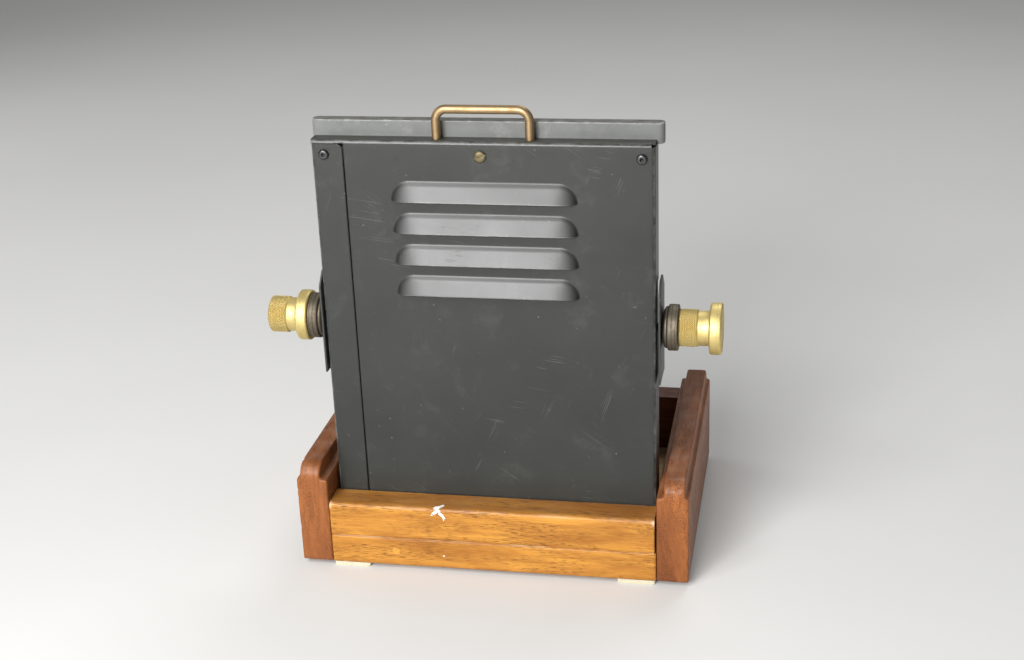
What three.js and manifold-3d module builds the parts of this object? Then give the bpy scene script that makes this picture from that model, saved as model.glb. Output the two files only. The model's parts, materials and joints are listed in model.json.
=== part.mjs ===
// Horizontal photo enlarger: a shallow steel light box standing in a timber cradle, with a
// lifting negative carrier clamped by two brass knobs, and a bellows and lens on guide rods.
// Millimetres. +X is to the right of someone facing the louvred cover, +Y is the direction of
// projection, +Z is up. The origin is the middle of the footprint, on the supporting surface.
// The cradle's front is its louvred side (-Y). Inside the light box, the lamps are behind the
// negative (-Y) and the lens is in front of it (+Y).

import * as THREE from 'three';
import { mergeVertices } from 'three/addons/utils/BufferGeometryUtils.js';
import Module from 'manifold-3d';

const wasm = await Module();
wasm.setup();

// ---------------------------------------------------------------- driving dimensions

const GAP = 0.3;                    // clearance left between pieces that touch

// Timber cradle
const BASE_DEPTH = 272;
const BASE_WIDTH = 370;
const PAD_HEIGHT = 4.5;
const PAD_WIDTH = 35;
const SIDE_RAIL_WIDTH = 29.8;
const SHOULDER_Z = 91;
const RIDGE_Z = 106;
const RIDGE_INNER_STEP = 6.8;
const RIDGE_OUTER_STEP = 3.5;
const RIDGE_END_RADIUS = 15;
const FRONT_RAIL_DEPTH = 30.1;
const FRONT_RAIL_Z = 67.6;
const GLUE_LINE_Z = 33.6;
const REAR_RAIL_DEPTH = 27;
const REAR_RAIL_Z = 80;
const FLOOR_TOP_Z = 21.3;
const FLOOR_SCREW_X = 110;
const FLOOR_SCREW_Y = -84;

// Light box
const COVER_WIDTH = 305;
const COVER_Y = -105.6;             // outer face of the louvred cover
const COVER_BOTTOM_Z = 22;
const COVER_TOP_Z = 413.5;
const SHEET = 1.5;
const FOLD_RADIUS = 3.5;
const FLANGE_DEPTH = 14.6;
const RETURN_DEPTH = 26;
const STRIP_WIDTH = 28.8;           // corner strip left of the seam
const CHASSIS_HALF_WIDTH = 150.6;
const CHASSIS_FRONT_Y = -63.6;
const CHASSIS_TOP_Z = 408.6;
const LIP_WIDTH = 15;
const GLAND_X = -95;
const GLAND_Z = 95;
const GLAND_THREAD_RADIUS = 8;

// Louvres
const LOUVRE_COUNT = 4;
const LOUVRE_X = 1.5;
const LOUVRE_LENGTH = 165.4;
const LOUVRE_HEIGHT = 17.8;
const LOUVRE_DEPTH = 7.2;
const LOUVRE_END = 16;
const LOUVRE_TOP_Z = 376.8;
const LOUVRE_PITCH = 29.3;

// Cover fasteners and handle
const SCREW_X = 141;
const SCREW_Z = 400.2;
const SCREW_RADIUS = 2.5;
const CROSS_RAIL_BOTTOM_Z = 391;
const CROSS_RAIL_HEIGHT = 15.6;
const CROSS_RAIL_DEPTH = 8.4;
const HANDLE_X = 1.6;
const HANDLE_Y = -97.5;
const HANDLE_SPACING = 83.4;
const HANDLE_TOP_Z = 440.3;
const HANDLE_ROD = 7.94;
const HANDLE_BEND = 10;
const SPIGOT_RADIUS = 2;

// Carrier, studs and clamp knobs share one vertical plane and one axis height
const CARRIER_Y = -84;
const AXIS_Z = 238;
const CARRIER_LIFT = 40;
const BAR_X = 1.75;
const BAR_LENGTH = 314.5;
const BAR_DEPTH = 12;
const BAR_BOTTOM_Z = 409;
const BAR_TOP_Z = 428;
const FRAME_HALF_WIDTH = 140;
const FRAME_THICKNESS = 6;
const FRAME_BOTTOM_Z = 178;
const STUD_RADIUS = 4;
const PLATE_X = 154.6;
const PLATE_THICKNESS = 1.8;
const PLATE_DEPTH = 38.5;
const PLATE_HEIGHT = 97;
const PLATE_CHAMFER = 12;
const KNOB_X = 171.3;
const KNOB_BARREL = 17.2;
const KNOB_NECK = 10.5;
const KNOB_FLANGE = 11;

// Negative window
const WINDOW_HALF_WIDTH = 66;
const WINDOW_HALF_HEIGHT = 53;

// Lamps
const LAMP_COUNT = 3;
const LAMP_PITCH = 40;
const LAMP_Y = -97.5;
const LAMP_RADIUS = 5;
const LAMP_HALF_LENGTH = 110;
const DIFFUSER_HALF_WIDTH = 110;
const DIFFUSER_HALF_HEIGHT = 88;
const DIFFUSER_THICKNESS = 2.5;
const BALLAST_X = -45;
const BALLAST_Z = 52;

// Bellows, from the chassis window to the lens standard
const BELLOWS_FRAME_HALF_WIDTH = 84;
const BELLOWS_FRAME_HALF_HEIGHT = 71;
const BELLOWS_FRAME_DEPTH = 6;
const BELLOWS_WIDE_HALF_WIDTH = 82;
const BELLOWS_WIDE_HALF_HEIGHT = 69;
const BELLOWS_NARROW_HALF = 46;
const BELLOWS_FOLDS = 9;
const PLEAT_DEPTH = 6;
const BELLOWS_WALL = 2;

// Focusing stage
const STANDARD_Y = 44;              // lamp-side face of the lens standard's upright
const STANDARD_THICKNESS = 8;
const STANDARD_HALF_WIDTH = 60;
const STANDARD_TOP = 62;            // above the lens axis
const STANDARD_HOLE_RADIUS = 34;
const CARRIAGE_LENGTH = 30;
const CARRIAGE_HALF_WIDTH = 76;
const CARRIAGE_BOTTOM_Z = 32;
const CARRIAGE_TOP_Z = 62;
const ROD_X = 60;
const ROD_Z = 48;
const ROD_RADIUS = 5;
const RACK_MODULE = 1;
const PINION_TEETH = 16;
const RACK_TOP_Z = 30;
const PINION_Z = RACK_TOP_Z - RACK_MODULE + RACK_MODULE * PINION_TEETH / 2;
const PINION_Y = STANDARD_Y + 4;
const SHAFT_RADIUS = 3;
const FOCUS_KNOB_RADIUS = 14;
const FOCUS_KNOB_X = 82;
const FOCUS_KNOB_LENGTH = 18;

// Lens: board, barrel and aperture ring
const BOARD_HALF = 45;
const BOARD_THICKNESS = 4;
const BARREL_RADIUS = 20;           // through the board
const GLASS_RADIUS = 16;
const LENS_FLANGE_RADIUS = 29;
const RING_SEAT_RADIUS = 22.5;
const RING_LENGTH = 12;

// ---------------------------------------------------------------- materials

const finishes = {
  sideTimber: [0x5a2a1c, 0.5, 0],
  frontTimber: [0xa8672c, 0.5, 0],
  rearTimber: [0x4a1a12, 0.55, 0],
  plywood: [0xb08a5c, 0.8, 0],
  felt: [0xe4dcc0, 1, 0],
  greyPaint: [0x2f3331, 0.45, 0.3],
  chassisPaint: [0x1c1e1e, 0.5, 0.3],
  blackPaint: [0x151616, 0.4, 0.3],
  blackSteel: [0x0c0c0d, 0.35, 0.7],
  steel: [0x9a9c9e, 0.35, 0.9],
  brass: [0xb08a3c, 0.35, 0.9],
  greySpacer: [0x4a4c4e, 0.5, 0.4],
  lampGlass: [0xf4f4ea, 0.2, 0],
  lampHolder: [0xd8d4c8, 0.6, 0],
  ballastCase: [0x6c7074, 0.5, 0.5],
  terminalPlastic: [0xc8c2a8, 0.6, 0],
  opalGlass: [0xf0f0ec, 0.5, 0],
  clearGlass: [0xdce6e4, 0.05, 0],
  blackPlastic: [0x101010, 0.5, 0],
  bellowsCloth: [0x16130f, 0.8, 0],
  castGrey: [0x3c4042, 0.5, 0.5],
  lensBlack: [0x0e0e10, 0.3, 0.5],
};

function material(finish) {
  const [color, roughness, metalness] = finishes[finish];
  return new THREE.MeshStandardMaterial({ color, roughness, metalness });
}

// ---------------------------------------------------------------- solid helpers

// Position-only geometry with shared vertices and no collapsed faces.
function weld(geometry) {
  const bare = geometry.index ? geometry.toNonIndexed() : geometry.clone();
  bare.deleteAttribute('normal');
  bare.deleteAttribute('uv');
  const merged = mergeVertices(bare, 1e-4);
  const kept = [];
  const index = merged.index.array;
  for (let i = 0; i < index.length; i += 3) {
    const [a, b, c] = [index[i], index[i + 1], index[i + 2]];
    if (a !== b && b !== c && c !== a) {
      kept.push(a, b, c);
    }
  }
  merged.setIndex(kept);
  return merged;
}

function solid(geometry) {
  const welded = weld(geometry);
  const mesh = new wasm.Mesh({
    numProp: 3,
    vertProperties: new Float32Array(welded.attributes.position.array),
    triVerts: new Uint32Array(welded.index.array),
  });
  return new wasm.Manifold(mesh);
}

function surface(body) {
  const mesh = body.getMesh();
  const geometry = new THREE.BufferGeometry();
  geometry.setAttribute('position', new THREE.BufferAttribute(new Float32Array(mesh.vertProperties), 3));
  geometry.setIndex(Array.from(mesh.triVerts));
  return geometry;
}

function join(first, ...others) {
  return others.reduce((sum, next) => sum.add(next), first);
}

function cut(first, ...others) {
  return others.reduce((rest, next) => rest.subtract(next), first);
}

function block(x0, x1, y0, y1, z0, z1) {
  const geometry = new THREE.BoxGeometry(x1 - x0, y1 - y0, z1 - z0);
  return solid(geometry.translate((x0 + x1) / 2, (y0 + y1) / 2, (z0 + z1) / 2));
}

// A shape drawn in (Y, Z), extruded along X.
function extrudeX(shape, x0, x1, curveSegments = 6) {
  const geometry = new THREE.ExtrudeGeometry(shape, { depth: x1 - x0, bevelEnabled: false, curveSegments });
  const turn = new THREE.Matrix4().makeBasis(
    new THREE.Vector3(0, 1, 0),
    new THREE.Vector3(0, 0, 1),
    new THREE.Vector3(1, 0, 0),
  );
  return solid(geometry.applyMatrix4(turn).translate(x0, 0, 0));
}

// A shape drawn in (X, Z), extruded along Y.
function extrudeY(shape, y0, y1, curveSegments = 6) {
  const geometry = new THREE.ExtrudeGeometry(shape, { depth: y1 - y0, bevelEnabled: false, curveSegments });
  return solid(geometry.rotateX(Math.PI / 2).translate(0, y1, 0));
}

// A shape drawn in (X, Y), extruded along Z.
function extrudeZ(shape, z0, z1, curveSegments = 6) {
  const geometry = new THREE.ExtrudeGeometry(shape, { depth: z1 - z0, bevelEnabled: false, curveSegments });
  return solid(geometry.translate(0, 0, z0));
}

function polygon(points) {
  return new THREE.Shape(points.map(([a, b]) => new THREE.Vector2(a, b)));
}

function roundedRectangle(x0, y0, x1, y1, radius) {
  const shape = new THREE.Shape();
  shape.moveTo(x0 + radius, y0);
  shape.lineTo(x1 - radius, y0);
  shape.absarc(x1 - radius, y0 + radius, radius, -Math.PI / 2, 0);
  shape.lineTo(x1, y1 - radius);
  shape.absarc(x1 - radius, y1 - radius, radius, 0, Math.PI / 2);
  shape.lineTo(x0 + radius, y1);
  shape.absarc(x0 + radius, y1 - radius, radius, Math.PI / 2, Math.PI);
  shape.lineTo(x0, y0 + radius);
  shape.absarc(x0 + radius, y0 + radius, radius, Math.PI, 1.5 * Math.PI);
  return shape;
}

function hexagon(acrossFlats) {
  const radius = acrossFlats / Math.sqrt(3);
  const corners = [0, 1, 2, 3, 4, 5].map((i) => i * Math.PI / 3);
  return corners.map((angle) => [radius * Math.cos(angle), radius * Math.sin(angle)]);
}

function rodX(radius, x0, x1, y, z, segments = 12) {
  const geometry = new THREE.CylinderGeometry(radius, radius, x1 - x0, segments);
  return solid(geometry.rotateZ(-Math.PI / 2).translate((x0 + x1) / 2, y, z));
}

function rodY(radius, y0, y1, x, z, segments = 12) {
  const geometry = new THREE.CylinderGeometry(radius, radius, y1 - y0, segments);
  return solid(geometry.translate(x, (y0 + y1) / 2, z));
}

function rodZ(radius, z0, z1, x, y, segments = 12) {
  const geometry = new THREE.CylinderGeometry(radius, radius, z1 - z0, segments);
  return solid(geometry.rotateX(Math.PI / 2).translate(x, y, (z0 + z1) / 2));
}

// Turned pieces. A profile lists [distance along the axis, radius] and runs along the outside in
// the axis direction; where it doesn't start and end on the axis it closes on itself.
function turned(profile, segments) {
  const points = profile.map(([along, radius]) => new THREE.Vector2(radius, along));
  const open = profile[0][1] > 0;
  if (open) {
    points.push(points[0].clone());
  }
  return new THREE.LatheGeometry(points, segments);
}

// sign +1 turns the profile's axis to +X, sign -1 to -X.
function turnedX(profile, sign, y, z, segments = 24) {
  return solid(turned(profile, segments).rotateZ(-sign * Math.PI / 2).translate(0, y, z));
}

// sign +1 turns the profile's axis to +Y, sign -1 to -Y.
function turnedY(profile, sign, x, z, segments = 24) {
  const geometry = turned(profile, segments);
  return solid(geometry.rotateX(sign > 0 ? 0 : Math.PI).translate(x, 0, z));
}

const enlarger = new THREE.Group();

function addNode(name, body, finish) {
  const mesh = new THREE.Mesh(surface(body), material(finish));
  mesh.name = name;
  enlarger.add(mesh);
}

const SIDES = [['left', -1], ['right', 1]];

// ---------------------------------------------------------------- timber cradle

const halfDepth = BASE_DEPTH / 2;
const halfWidth = BASE_WIDTH / 2;
const railInner = halfWidth - SIDE_RAIL_WIDTH;
const endX = railInner - GAP;       // ends of the pieces between the side rails
const frontRailBack = -halfDepth + FRONT_RAIL_DEPTH;
const rearRailFront = halfDepth - REAR_RAIL_DEPTH;

function sideRail(sign) {
  const span = (near, far) => (sign > 0 ? [near, far] : [-far, -near]);
  const lower = block(...span(railInner, halfWidth), -halfDepth, halfDepth, PAD_HEIGHT, SHOULDER_Z);
  const ridge = new THREE.Shape();
  const r = RIDGE_END_RADIUS;
  ridge.moveTo(-halfDepth, SHOULDER_Z - 10);
  ridge.lineTo(halfDepth, SHOULDER_Z - 10);
  ridge.lineTo(halfDepth, RIDGE_Z - r);
  ridge.absarc(halfDepth - r, RIDGE_Z - r, r, 0, Math.PI / 2);
  ridge.lineTo(-halfDepth + r, RIDGE_Z);
  ridge.absarc(-halfDepth + r, RIDGE_Z - r, r, Math.PI / 2, Math.PI);
  const ridgeSpan = span(railInner + RIDGE_INNER_STEP, halfWidth - RIDGE_OUTER_STEP);
  return join(lower, extrudeX(ridge, ...ridgeSpan, 8));
}

for (const [side, sign] of SIDES) {
  addNode(`${side}_side_rail`, sideRail(sign), 'sideTimber');
}

// The upper front board has a rounded top arris and stops a little short at its right end.
function upperFrontBoard() {
  const arris = 4;
  const shape = new THREE.Shape();
  shape.moveTo(-halfDepth, GLUE_LINE_Z + GAP / 2);
  shape.lineTo(frontRailBack, GLUE_LINE_Z + GAP / 2);
  shape.lineTo(frontRailBack, FRONT_RAIL_Z);
  shape.lineTo(-halfDepth + arris, FRONT_RAIL_Z);
  shape.absarc(-halfDepth + arris, FRONT_RAIL_Z - arris, arris, Math.PI / 2, Math.PI);
  return extrudeX(shape, -endX, endX - 1.2);
}

const lowerFrontBoard = block(-endX, endX, -halfDepth, frontRailBack, PAD_HEIGHT, GLUE_LINE_Z - GAP / 2);
addNode('front_rail_lower', lowerFrontBoard, 'frontTimber');
addNode('front_rail_upper', upperFrontBoard(), 'frontTimber');
const rearRail = block(-endX, endX, rearRailFront, halfDepth, PAD_HEIGHT, REAR_RAIL_Z);
addNode('rear_rail', rearRail, 'rearTimber');

const boardFront = frontRailBack + 2 * GAP;
const boardRear = rearRailFront - GAP;
const floorX = endX - GAP;
const floorScrewPlaces = [[-FLOOR_SCREW_X, FLOOR_SCREW_Y], [FLOOR_SCREW_X, FLOOR_SCREW_Y]];
const floorScrewBore = 2 + GAP;
const floorScrewHoles = floorScrewPlaces.map(([x, y]) =>
  rodZ(floorScrewBore, FLOOR_TOP_Z - 9, FLOOR_TOP_Z + 1, x, y));
const floor = block(-floorX, floorX, boardFront, boardRear, PAD_HEIGHT + GAP, FLOOR_TOP_Z);
addNode('floor_board', cut(floor, ...floorScrewHoles), 'plywood');

const padTop = PAD_HEIGHT - GAP;
for (const [end, ySign] of [['front', -1], ['rear', 1]]) {
  for (const [side, xSign] of SIDES) {
    const x = xSign * (endX - 1 - PAD_WIDTH / 2);
    const y = ySign * (halfDepth - 1 - PAD_WIDTH / 2);
    const outline = roundedRectangle(
      x - PAD_WIDTH / 2, y - PAD_WIDTH / 2, x + PAD_WIDTH / 2, y + PAD_WIDTH / 2, 2);
    addNode(`${end}_${side}_felt_pad`, extrudeZ(outline, 0, padTop, 2), 'felt');
  }
}

// ---------------------------------------------------------------- light box

const coverHalf = COVER_WIDTH / 2;
const coverInner = COVER_Y + SHEET;
const seamX = -coverHalf + STRIP_WIDTH;
const screwPlaces = [[-SCREW_X, SCREW_Z], [SCREW_X, SCREW_Z], [0, SCREW_Z]];
const handleFeet = SIDES.map(([, sign]) => HANDLE_X + sign * HANDLE_SPACING / 2);

function coverScrewHoles(y0, y1) {
  return screwPlaces.map(([x, z]) => rodY(SCREW_RADIUS + GAP, y0, y1, x, z));
}

// Louvre bodies are stretched capsules along X, kept only above the open lower lip.
function louvre(index, inset, below, inward) {
  const top = LOUVRE_TOP_Z - index * LOUVRE_PITCH;
  const lip = top - LOUVRE_HEIGHT;
  const straight = LOUVRE_LENGTH / 2 - LOUVRE_END;
  const end = LOUVRE_END - inset;
  const profile = [];
  const steps = 4;
  for (let i = 0; i <= steps; i += 1) {
    const angle = (Math.PI / 2) * (i / steps);
    profile.push([-straight - end * Math.cos(angle), i === 0 ? 0 : Math.sin(angle)]);
  }
  for (let i = steps; i >= 0; i -= 1) {
    const angle = (Math.PI / 2) * (i / steps);
    profile.push([straight + end * Math.cos(angle), i === 0 ? 0 : Math.sin(angle)]);
  }
  const capsule = turned(profile, 20).rotateZ(-Math.PI / 2);
  capsule.scale(1, LOUVRE_DEPTH - inset, LOUVRE_HEIGHT - inset);
  capsule.translate(LOUVRE_X, COVER_Y, lip);
  const keep = block(-coverHalf, coverHalf, COVER_Y - 20, COVER_Y + inward, lip - below, lip + 40);
  return solid(capsule).intersect(keep);
}

// A folded corner in plan: a strip of the face, the bend, and the return along the side.
function foldedCorner(sign, faceEnd) {
  const outer = coverHalf;
  const inner = coverHalf - SHEET;
  const bend = coverHalf - FOLD_RADIUS;
  const returnEnd = COVER_Y + RETURN_DEPTH;
  const bendY = COVER_Y + FOLD_RADIUS;
  const shape = new THREE.Shape();
  shape.moveTo(faceEnd, COVER_Y);
  shape.lineTo(bend, COVER_Y);
  shape.absarc(bend, bendY, FOLD_RADIUS, -Math.PI / 2, 0);
  shape.lineTo(outer, returnEnd);
  shape.lineTo(inner, returnEnd);
  shape.lineTo(inner, bendY);
  shape.absarc(bend, bendY, FOLD_RADIUS - SHEET, 0, -Math.PI / 2, true);
  shape.lineTo(faceEnd, coverInner);
  if (sign > 0) {
    return shape;
  }
  const mirrored = shape.extractPoints(4).shape.map((p) => [-p.x, p.y]);
  return polygon(mirrored.reverse());
}

// Room above the side returns for the carrier's bar to come down on the chassis.
function barRelief() {
  const from = CARRIER_Y - BAR_DEPTH / 2 - 2 * GAP;
  return block(-coverHalf - 1, coverHalf + 1, from, 0, CHASSIS_TOP_Z, COVER_TOP_Z + 1);
}

const slotRadius = STUD_RADIUS + 0.7;

// Notches open at the returns' free edges, so that the cover draws off past the studs.
function studNotch() {
  const reach = slotRadius;
  return block(-coverHalf - 1, coverHalf + 1, CARRIER_Y - reach, CARRIER_Y + 10,
    AXIS_Z - reach, AXIS_Z + CARRIER_LIFT + reach);
}

function louvredCover() {
  const flangeBack = COVER_Y + FLANGE_DEPTH;
  const bendZ = COVER_TOP_Z - FOLD_RADIUS;
  const bendY = COVER_Y + FOLD_RADIUS;
  const section = new THREE.Shape();
  section.moveTo(COVER_Y, COVER_BOTTOM_Z);
  section.lineTo(coverInner, COVER_BOTTOM_Z);
  section.lineTo(coverInner, bendZ);
  section.absarc(bendY, bendZ, FOLD_RADIUS - SHEET, Math.PI, Math.PI / 2, true);
  section.lineTo(flangeBack, COVER_TOP_Z - SHEET);
  section.lineTo(flangeBack, COVER_TOP_Z);
  section.lineTo(bendY, COVER_TOP_Z);
  section.absarc(bendY, bendZ, FOLD_RADIUS, Math.PI / 2, Math.PI);
  const faceRight = coverHalf - FOLD_RADIUS;
  const sheet = extrudeX(section, -coverHalf, faceRight, 4);
  const stripSpace = block(-coverHalf - 1, seamX, COVER_Y - 1, coverInner + 1, 0, bendZ - 0.2);
  const corner = extrudeZ(foldedCorner(1, faceRight - 10), COVER_BOTTOM_Z, bendZ, 4);
  const flangeEnd = block(faceRight - 1, coverHalf - 0.4, bendY, flangeBack,
    COVER_TOP_Z - SHEET, COVER_TOP_Z);
  let cover = join(cut(sheet, stripSpace), corner, flangeEnd);
  for (let i = 0; i < LOUVRE_COUNT; i += 1) {
    cover = cut(join(cover, louvre(i, 0, 0, SHEET)), louvre(i, 1.2, 0.6, 20));
  }
  const handleHoles = handleFeet.map((x) =>
    rodZ(SPIGOT_RADIUS + GAP, COVER_TOP_Z - 3, COVER_TOP_Z + 1, x, HANDLE_Y));
  const screwHoles = coverScrewHoles(COVER_Y - 1, coverInner + 1);
  return cut(cover, barRelief(), studNotch(), ...handleHoles, ...screwHoles);
}
addNode('louvred_cover', louvredCover(), 'greyPaint');

const stripTop = COVER_TOP_Z - FOLD_RADIUS - 0.5;
const strip = extrudeZ(foldedCorner(-1, -seamX + GAP), COVER_BOTTOM_Z, stripTop, 4);
const stripHoles = coverScrewHoles(COVER_Y - 1, coverInner + 1);
addNode('cover_corner_strip', cut(strip, barRelief(), studNotch(), ...stripHoles), 'greyPaint');

const chassisRear = coverInner + GAP;

function studSlot(sign) {
  const slot = new THREE.Shape();
  slot.absarc(CARRIER_Y, AXIS_Z, slotRadius, Math.PI, 2 * Math.PI);
  slot.absarc(CARRIER_Y, AXIS_Z + CARRIER_LIFT, slotRadius, 0, Math.PI);
  const [x0, x1] = sign > 0 ? [140, 160] : [-160, -140];
  return extrudeX(slot, x0, x1, 8);
}

function chassisShell() {
  const w = CHASSIS_HALF_WIDTH;
  const inner = w - SHEET;
  const shell = cut(
    extrudeZ(roundedRectangle(-w, chassisRear, w, CHASSIS_FRONT_Y, 2.5), COVER_BOTTOM_Z, CHASSIS_TOP_Z, 3),
    block(-inner, inner, chassisRear + SHEET, CHASSIS_FRONT_Y - SHEET,
      COVER_BOTTOM_Z + SHEET, CHASSIS_TOP_Z - SHEET),
    block(-inner + LIP_WIDTH, inner - LIP_WIDTH, chassisRear - 1, chassisRear + SHEET + 1,
      COVER_BOTTOM_Z + LIP_WIDTH, CHASSIS_TOP_Z + 1),
    block(-inner, inner, chassisRear + SHEET, CARRIER_Y + 6.6, CHASSIS_TOP_Z - 5, CHASSIS_TOP_Z + 1),
    block(-WINDOW_HALF_WIDTH, WINDOW_HALF_WIDTH, CHASSIS_FRONT_Y - 3, CHASSIS_FRONT_Y + 1,
      AXIS_Z - WINDOW_HALF_HEIGHT, AXIS_Z + WINDOW_HALF_HEIGHT),
    studSlot(-1),
    studSlot(1),
    rodY(GLAND_THREAD_RADIUS + GAP, CHASSIS_FRONT_Y - 3, CHASSIS_FRONT_Y + 1, GLAND_X, GLAND_Z),
    ...floorScrewPlaces.map(([x, y]) => rodZ(floorScrewBore, COVER_BOTTOM_Z - 1, COVER_BOTTOM_Z + 3, x, y)),
  );
  return cut(shell, ...coverScrewHoles(chassisRear - 1, chassisRear + SHEET + 1));
}
addNode('chassis_shell', chassisShell(), 'chassisPaint');

const crossRailX = CHASSIS_HALF_WIDTH - SHEET - GAP;
const crossRailRear = chassisRear + SHEET + GAP;
const crossRail = block(-crossRailX, crossRailX, crossRailRear, crossRailRear + CROSS_RAIL_DEPTH,
  CROSS_RAIL_BOTTOM_Z, CROSS_RAIL_BOTTOM_Z + CROSS_RAIL_HEIGHT);
addNode('top_cross_rail', cut(crossRail, ...coverScrewHoles(crossRailRear - 1, -80)), 'steel');

// Screws through the cover's face, heads outside, threads in the cross rail.
const shankLength = crossRailRear + CROSS_RAIL_DEPTH - 1 - COVER_Y;

function socketScrew(x, z) {
  const headRadius = 4.75;
  const headHeight = 2.75;
  const profile = [
    [-COVER_Y - shankLength, 0],
    [-COVER_Y - shankLength, SCREW_RADIUS],
    [-COVER_Y + GAP, SCREW_RADIUS],
    [-COVER_Y + GAP, headRadius],
    [-COVER_Y + GAP + 0.6, headRadius],
    [-COVER_Y + GAP + 1.8, headRadius * 0.86],
    [-COVER_Y + GAP + headHeight, headRadius * 0.52],
    [-COVER_Y + GAP + headHeight, 0],
  ];
  const head = turnedY(profile, -1, x, z, 16);
  const socket = extrudeY(polygon(hexagon(3).map(([a, b]) => [a + x, b + z])), COVER_Y - 4, COVER_Y - 1.6);
  return cut(head, socket);
}
for (const [side, sign] of SIDES) {
  addNode(`${side}_cover_screw`, socketScrew(sign * SCREW_X, SCREW_Z), 'blackSteel');
}

const SLOT_TILT = THREE.MathUtils.degToRad(18);

function slottedScrew(x, z) {
  const headRadius = 5.5;
  const profile = [
    [-COVER_Y - shankLength, 0],
    [-COVER_Y - shankLength, SCREW_RADIUS],
    [-COVER_Y + GAP, SCREW_RADIUS],
    [-COVER_Y + GAP, headRadius],
    [-COVER_Y + GAP + 1.2, headRadius],
    [-COVER_Y + GAP + 2.2, headRadius * 0.8],
    [-COVER_Y + GAP + 2.8, 0],
  ];
  const slot = new THREE.BoxGeometry(14, 2.4, 1.2);
  slot.rotateY(-SLOT_TILT);
  slot.translate(x, COVER_Y - 2.8, z);
  return cut(turnedY(profile, -1, x, z, 16), solid(slot));
}
addNode('brass_cover_screw', slottedScrew(0, SCREW_Z), 'brass');

// Handle: up, over and down in the XZ plane, in five stretches.
class HandleCurve extends THREE.Curve {
  getPoint(t, target = new THREE.Vector3()) {
    const foot = COVER_TOP_Z + GAP;
    const rise = HANDLE_TOP_Z - HANDLE_BEND - foot;
    const across = HANDLE_SPACING - 2 * HANDLE_BEND;
    const arc = HANDLE_BEND * Math.PI / 2;
    const total = 2 * rise + 2 * arc + across;
    const half = HANDLE_SPACING / 2;
    const travelled = t * total;
    const mirrored = travelled > total / 2;
    const s = mirrored ? total - travelled : travelled;
    let x = -half;
    let z = foot + s;
    if (s > rise + arc) {
      x = -half + HANDLE_BEND + (s - rise - arc);
      z = HANDLE_TOP_Z;
    } else if (s > rise) {
      const angle = (s - rise) / HANDLE_BEND;
      x = -half + HANDLE_BEND * (1 - Math.cos(angle));
      z = HANDLE_TOP_Z - HANDLE_BEND + HANDLE_BEND * Math.sin(angle);
    }
    return target.set(HANDLE_X + (mirrored ? -x : x), HANDLE_Y, z);
  }
}

function circle(radius, segments) {
  const points = [];
  for (let i = 0; i < segments; i += 1) {
    const angle = 2 * Math.PI * i / segments;
    points.push([radius * Math.cos(angle), radius * Math.sin(angle)]);
  }
  return polygon(points);
}

const handleRod = new THREE.ExtrudeGeometry(circle(HANDLE_ROD / 2, 10), {
  steps: 28,
  extrudePath: new HandleCurve(),
});
const spigots = handleFeet.map((x) =>
  rodZ(SPIGOT_RADIUS, COVER_TOP_Z - 5, COVER_TOP_Z + 2, x, HANDLE_Y));
addNode('handle', join(solid(handleRod), ...spigots), 'brass');

const nutTop = COVER_TOP_Z - SHEET - GAP;
for (const [i, [side]] of SIDES.entries()) {
  const x = handleFeet[i];
  const outline = polygon(hexagon(7).map(([a, b]) => [a + x, b + HANDLE_Y]));
  const bore = rodZ(SPIGOT_RADIUS + GAP, nutTop - 5, nutTop + 1, x, HANDLE_Y);
  addNode(`${side}_handle_nut`, cut(extrudeZ(outline, nutTop - 3.2, nutTop), bore), 'steel');
}

// ---------------------------------------------------------------- lamps and electrics

const lampHeights = [];
for (let i = 0; i < LAMP_COUNT; i += 1) {
  lampHeights.push(AXIS_Z + (i - (LAMP_COUNT - 1) / 2) * LAMP_PITCH);
}

lampHeights.forEach((z, i) => {
  const half = LAMP_HALF_LENGTH;
  const capStart = half - 12;
  const profile = [
    [-half, 0],
    [-half, LAMP_RADIUS],
    [-capStart, LAMP_RADIUS],
    [-capStart + 2, LAMP_RADIUS - 0.4],
    [capStart - 2, LAMP_RADIUS - 0.4],
    [capStart, LAMP_RADIUS],
    [half, LAMP_RADIUS],
    [half, 0],
  ];
  addNode(`lamp_tube_${i + 1}`, turnedX(profile, 1, LAMP_Y, z, 12), 'lampGlass');
});

// The two lamp holders also grip the diffuser's edges in a groove along their lens side.
const diffuserRear = CARRIER_Y - 6.9;
const diffuserFront = diffuserRear + DIFFUSER_THICKNESS;
const holderInner = LAMP_HALF_LENGTH - 5;
const holderOuter = LAMP_HALF_LENGTH + 6;

for (const [side, sign] of SIDES) {
  const across = (inner, outer) => (sign > 0 ? [inner, outer] : [-outer, -inner]);
  const bores = lampHeights.map((z) =>
    rodX(LAMP_RADIUS + GAP, ...across(holderInner - 5, LAMP_HALF_LENGTH + GAP), LAMP_Y, z));
  const grooveHalf = DIFFUSER_HALF_HEIGHT + 20;
  const groove = block(...across(holderInner - 5, DIFFUSER_HALF_WIDTH + GAP),
    diffuserRear - GAP, diffuserFront + GAP, AXIS_Z - grooveHalf, AXIS_Z + grooveHalf);
  const strutHalf = DIFFUSER_HALF_HEIGHT + 4;
  const strut = block(...across(holderInner, holderOuter), coverInner + 0.5, diffuserFront + 1.1,
    AXIS_Z - strutHalf, AXIS_Z + strutHalf);
  addNode(`${side}_tube_holder`, cut(strut, groove, ...bores), 'lampHolder');
}
addNode('diffuser_glass', block(-DIFFUSER_HALF_WIDTH, DIFFUSER_HALF_WIDTH, diffuserRear, diffuserFront,
  AXIS_Z - DIFFUSER_HALF_HEIGHT, AXIS_Z + DIFFUSER_HALF_HEIGHT), 'opalGlass');

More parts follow.
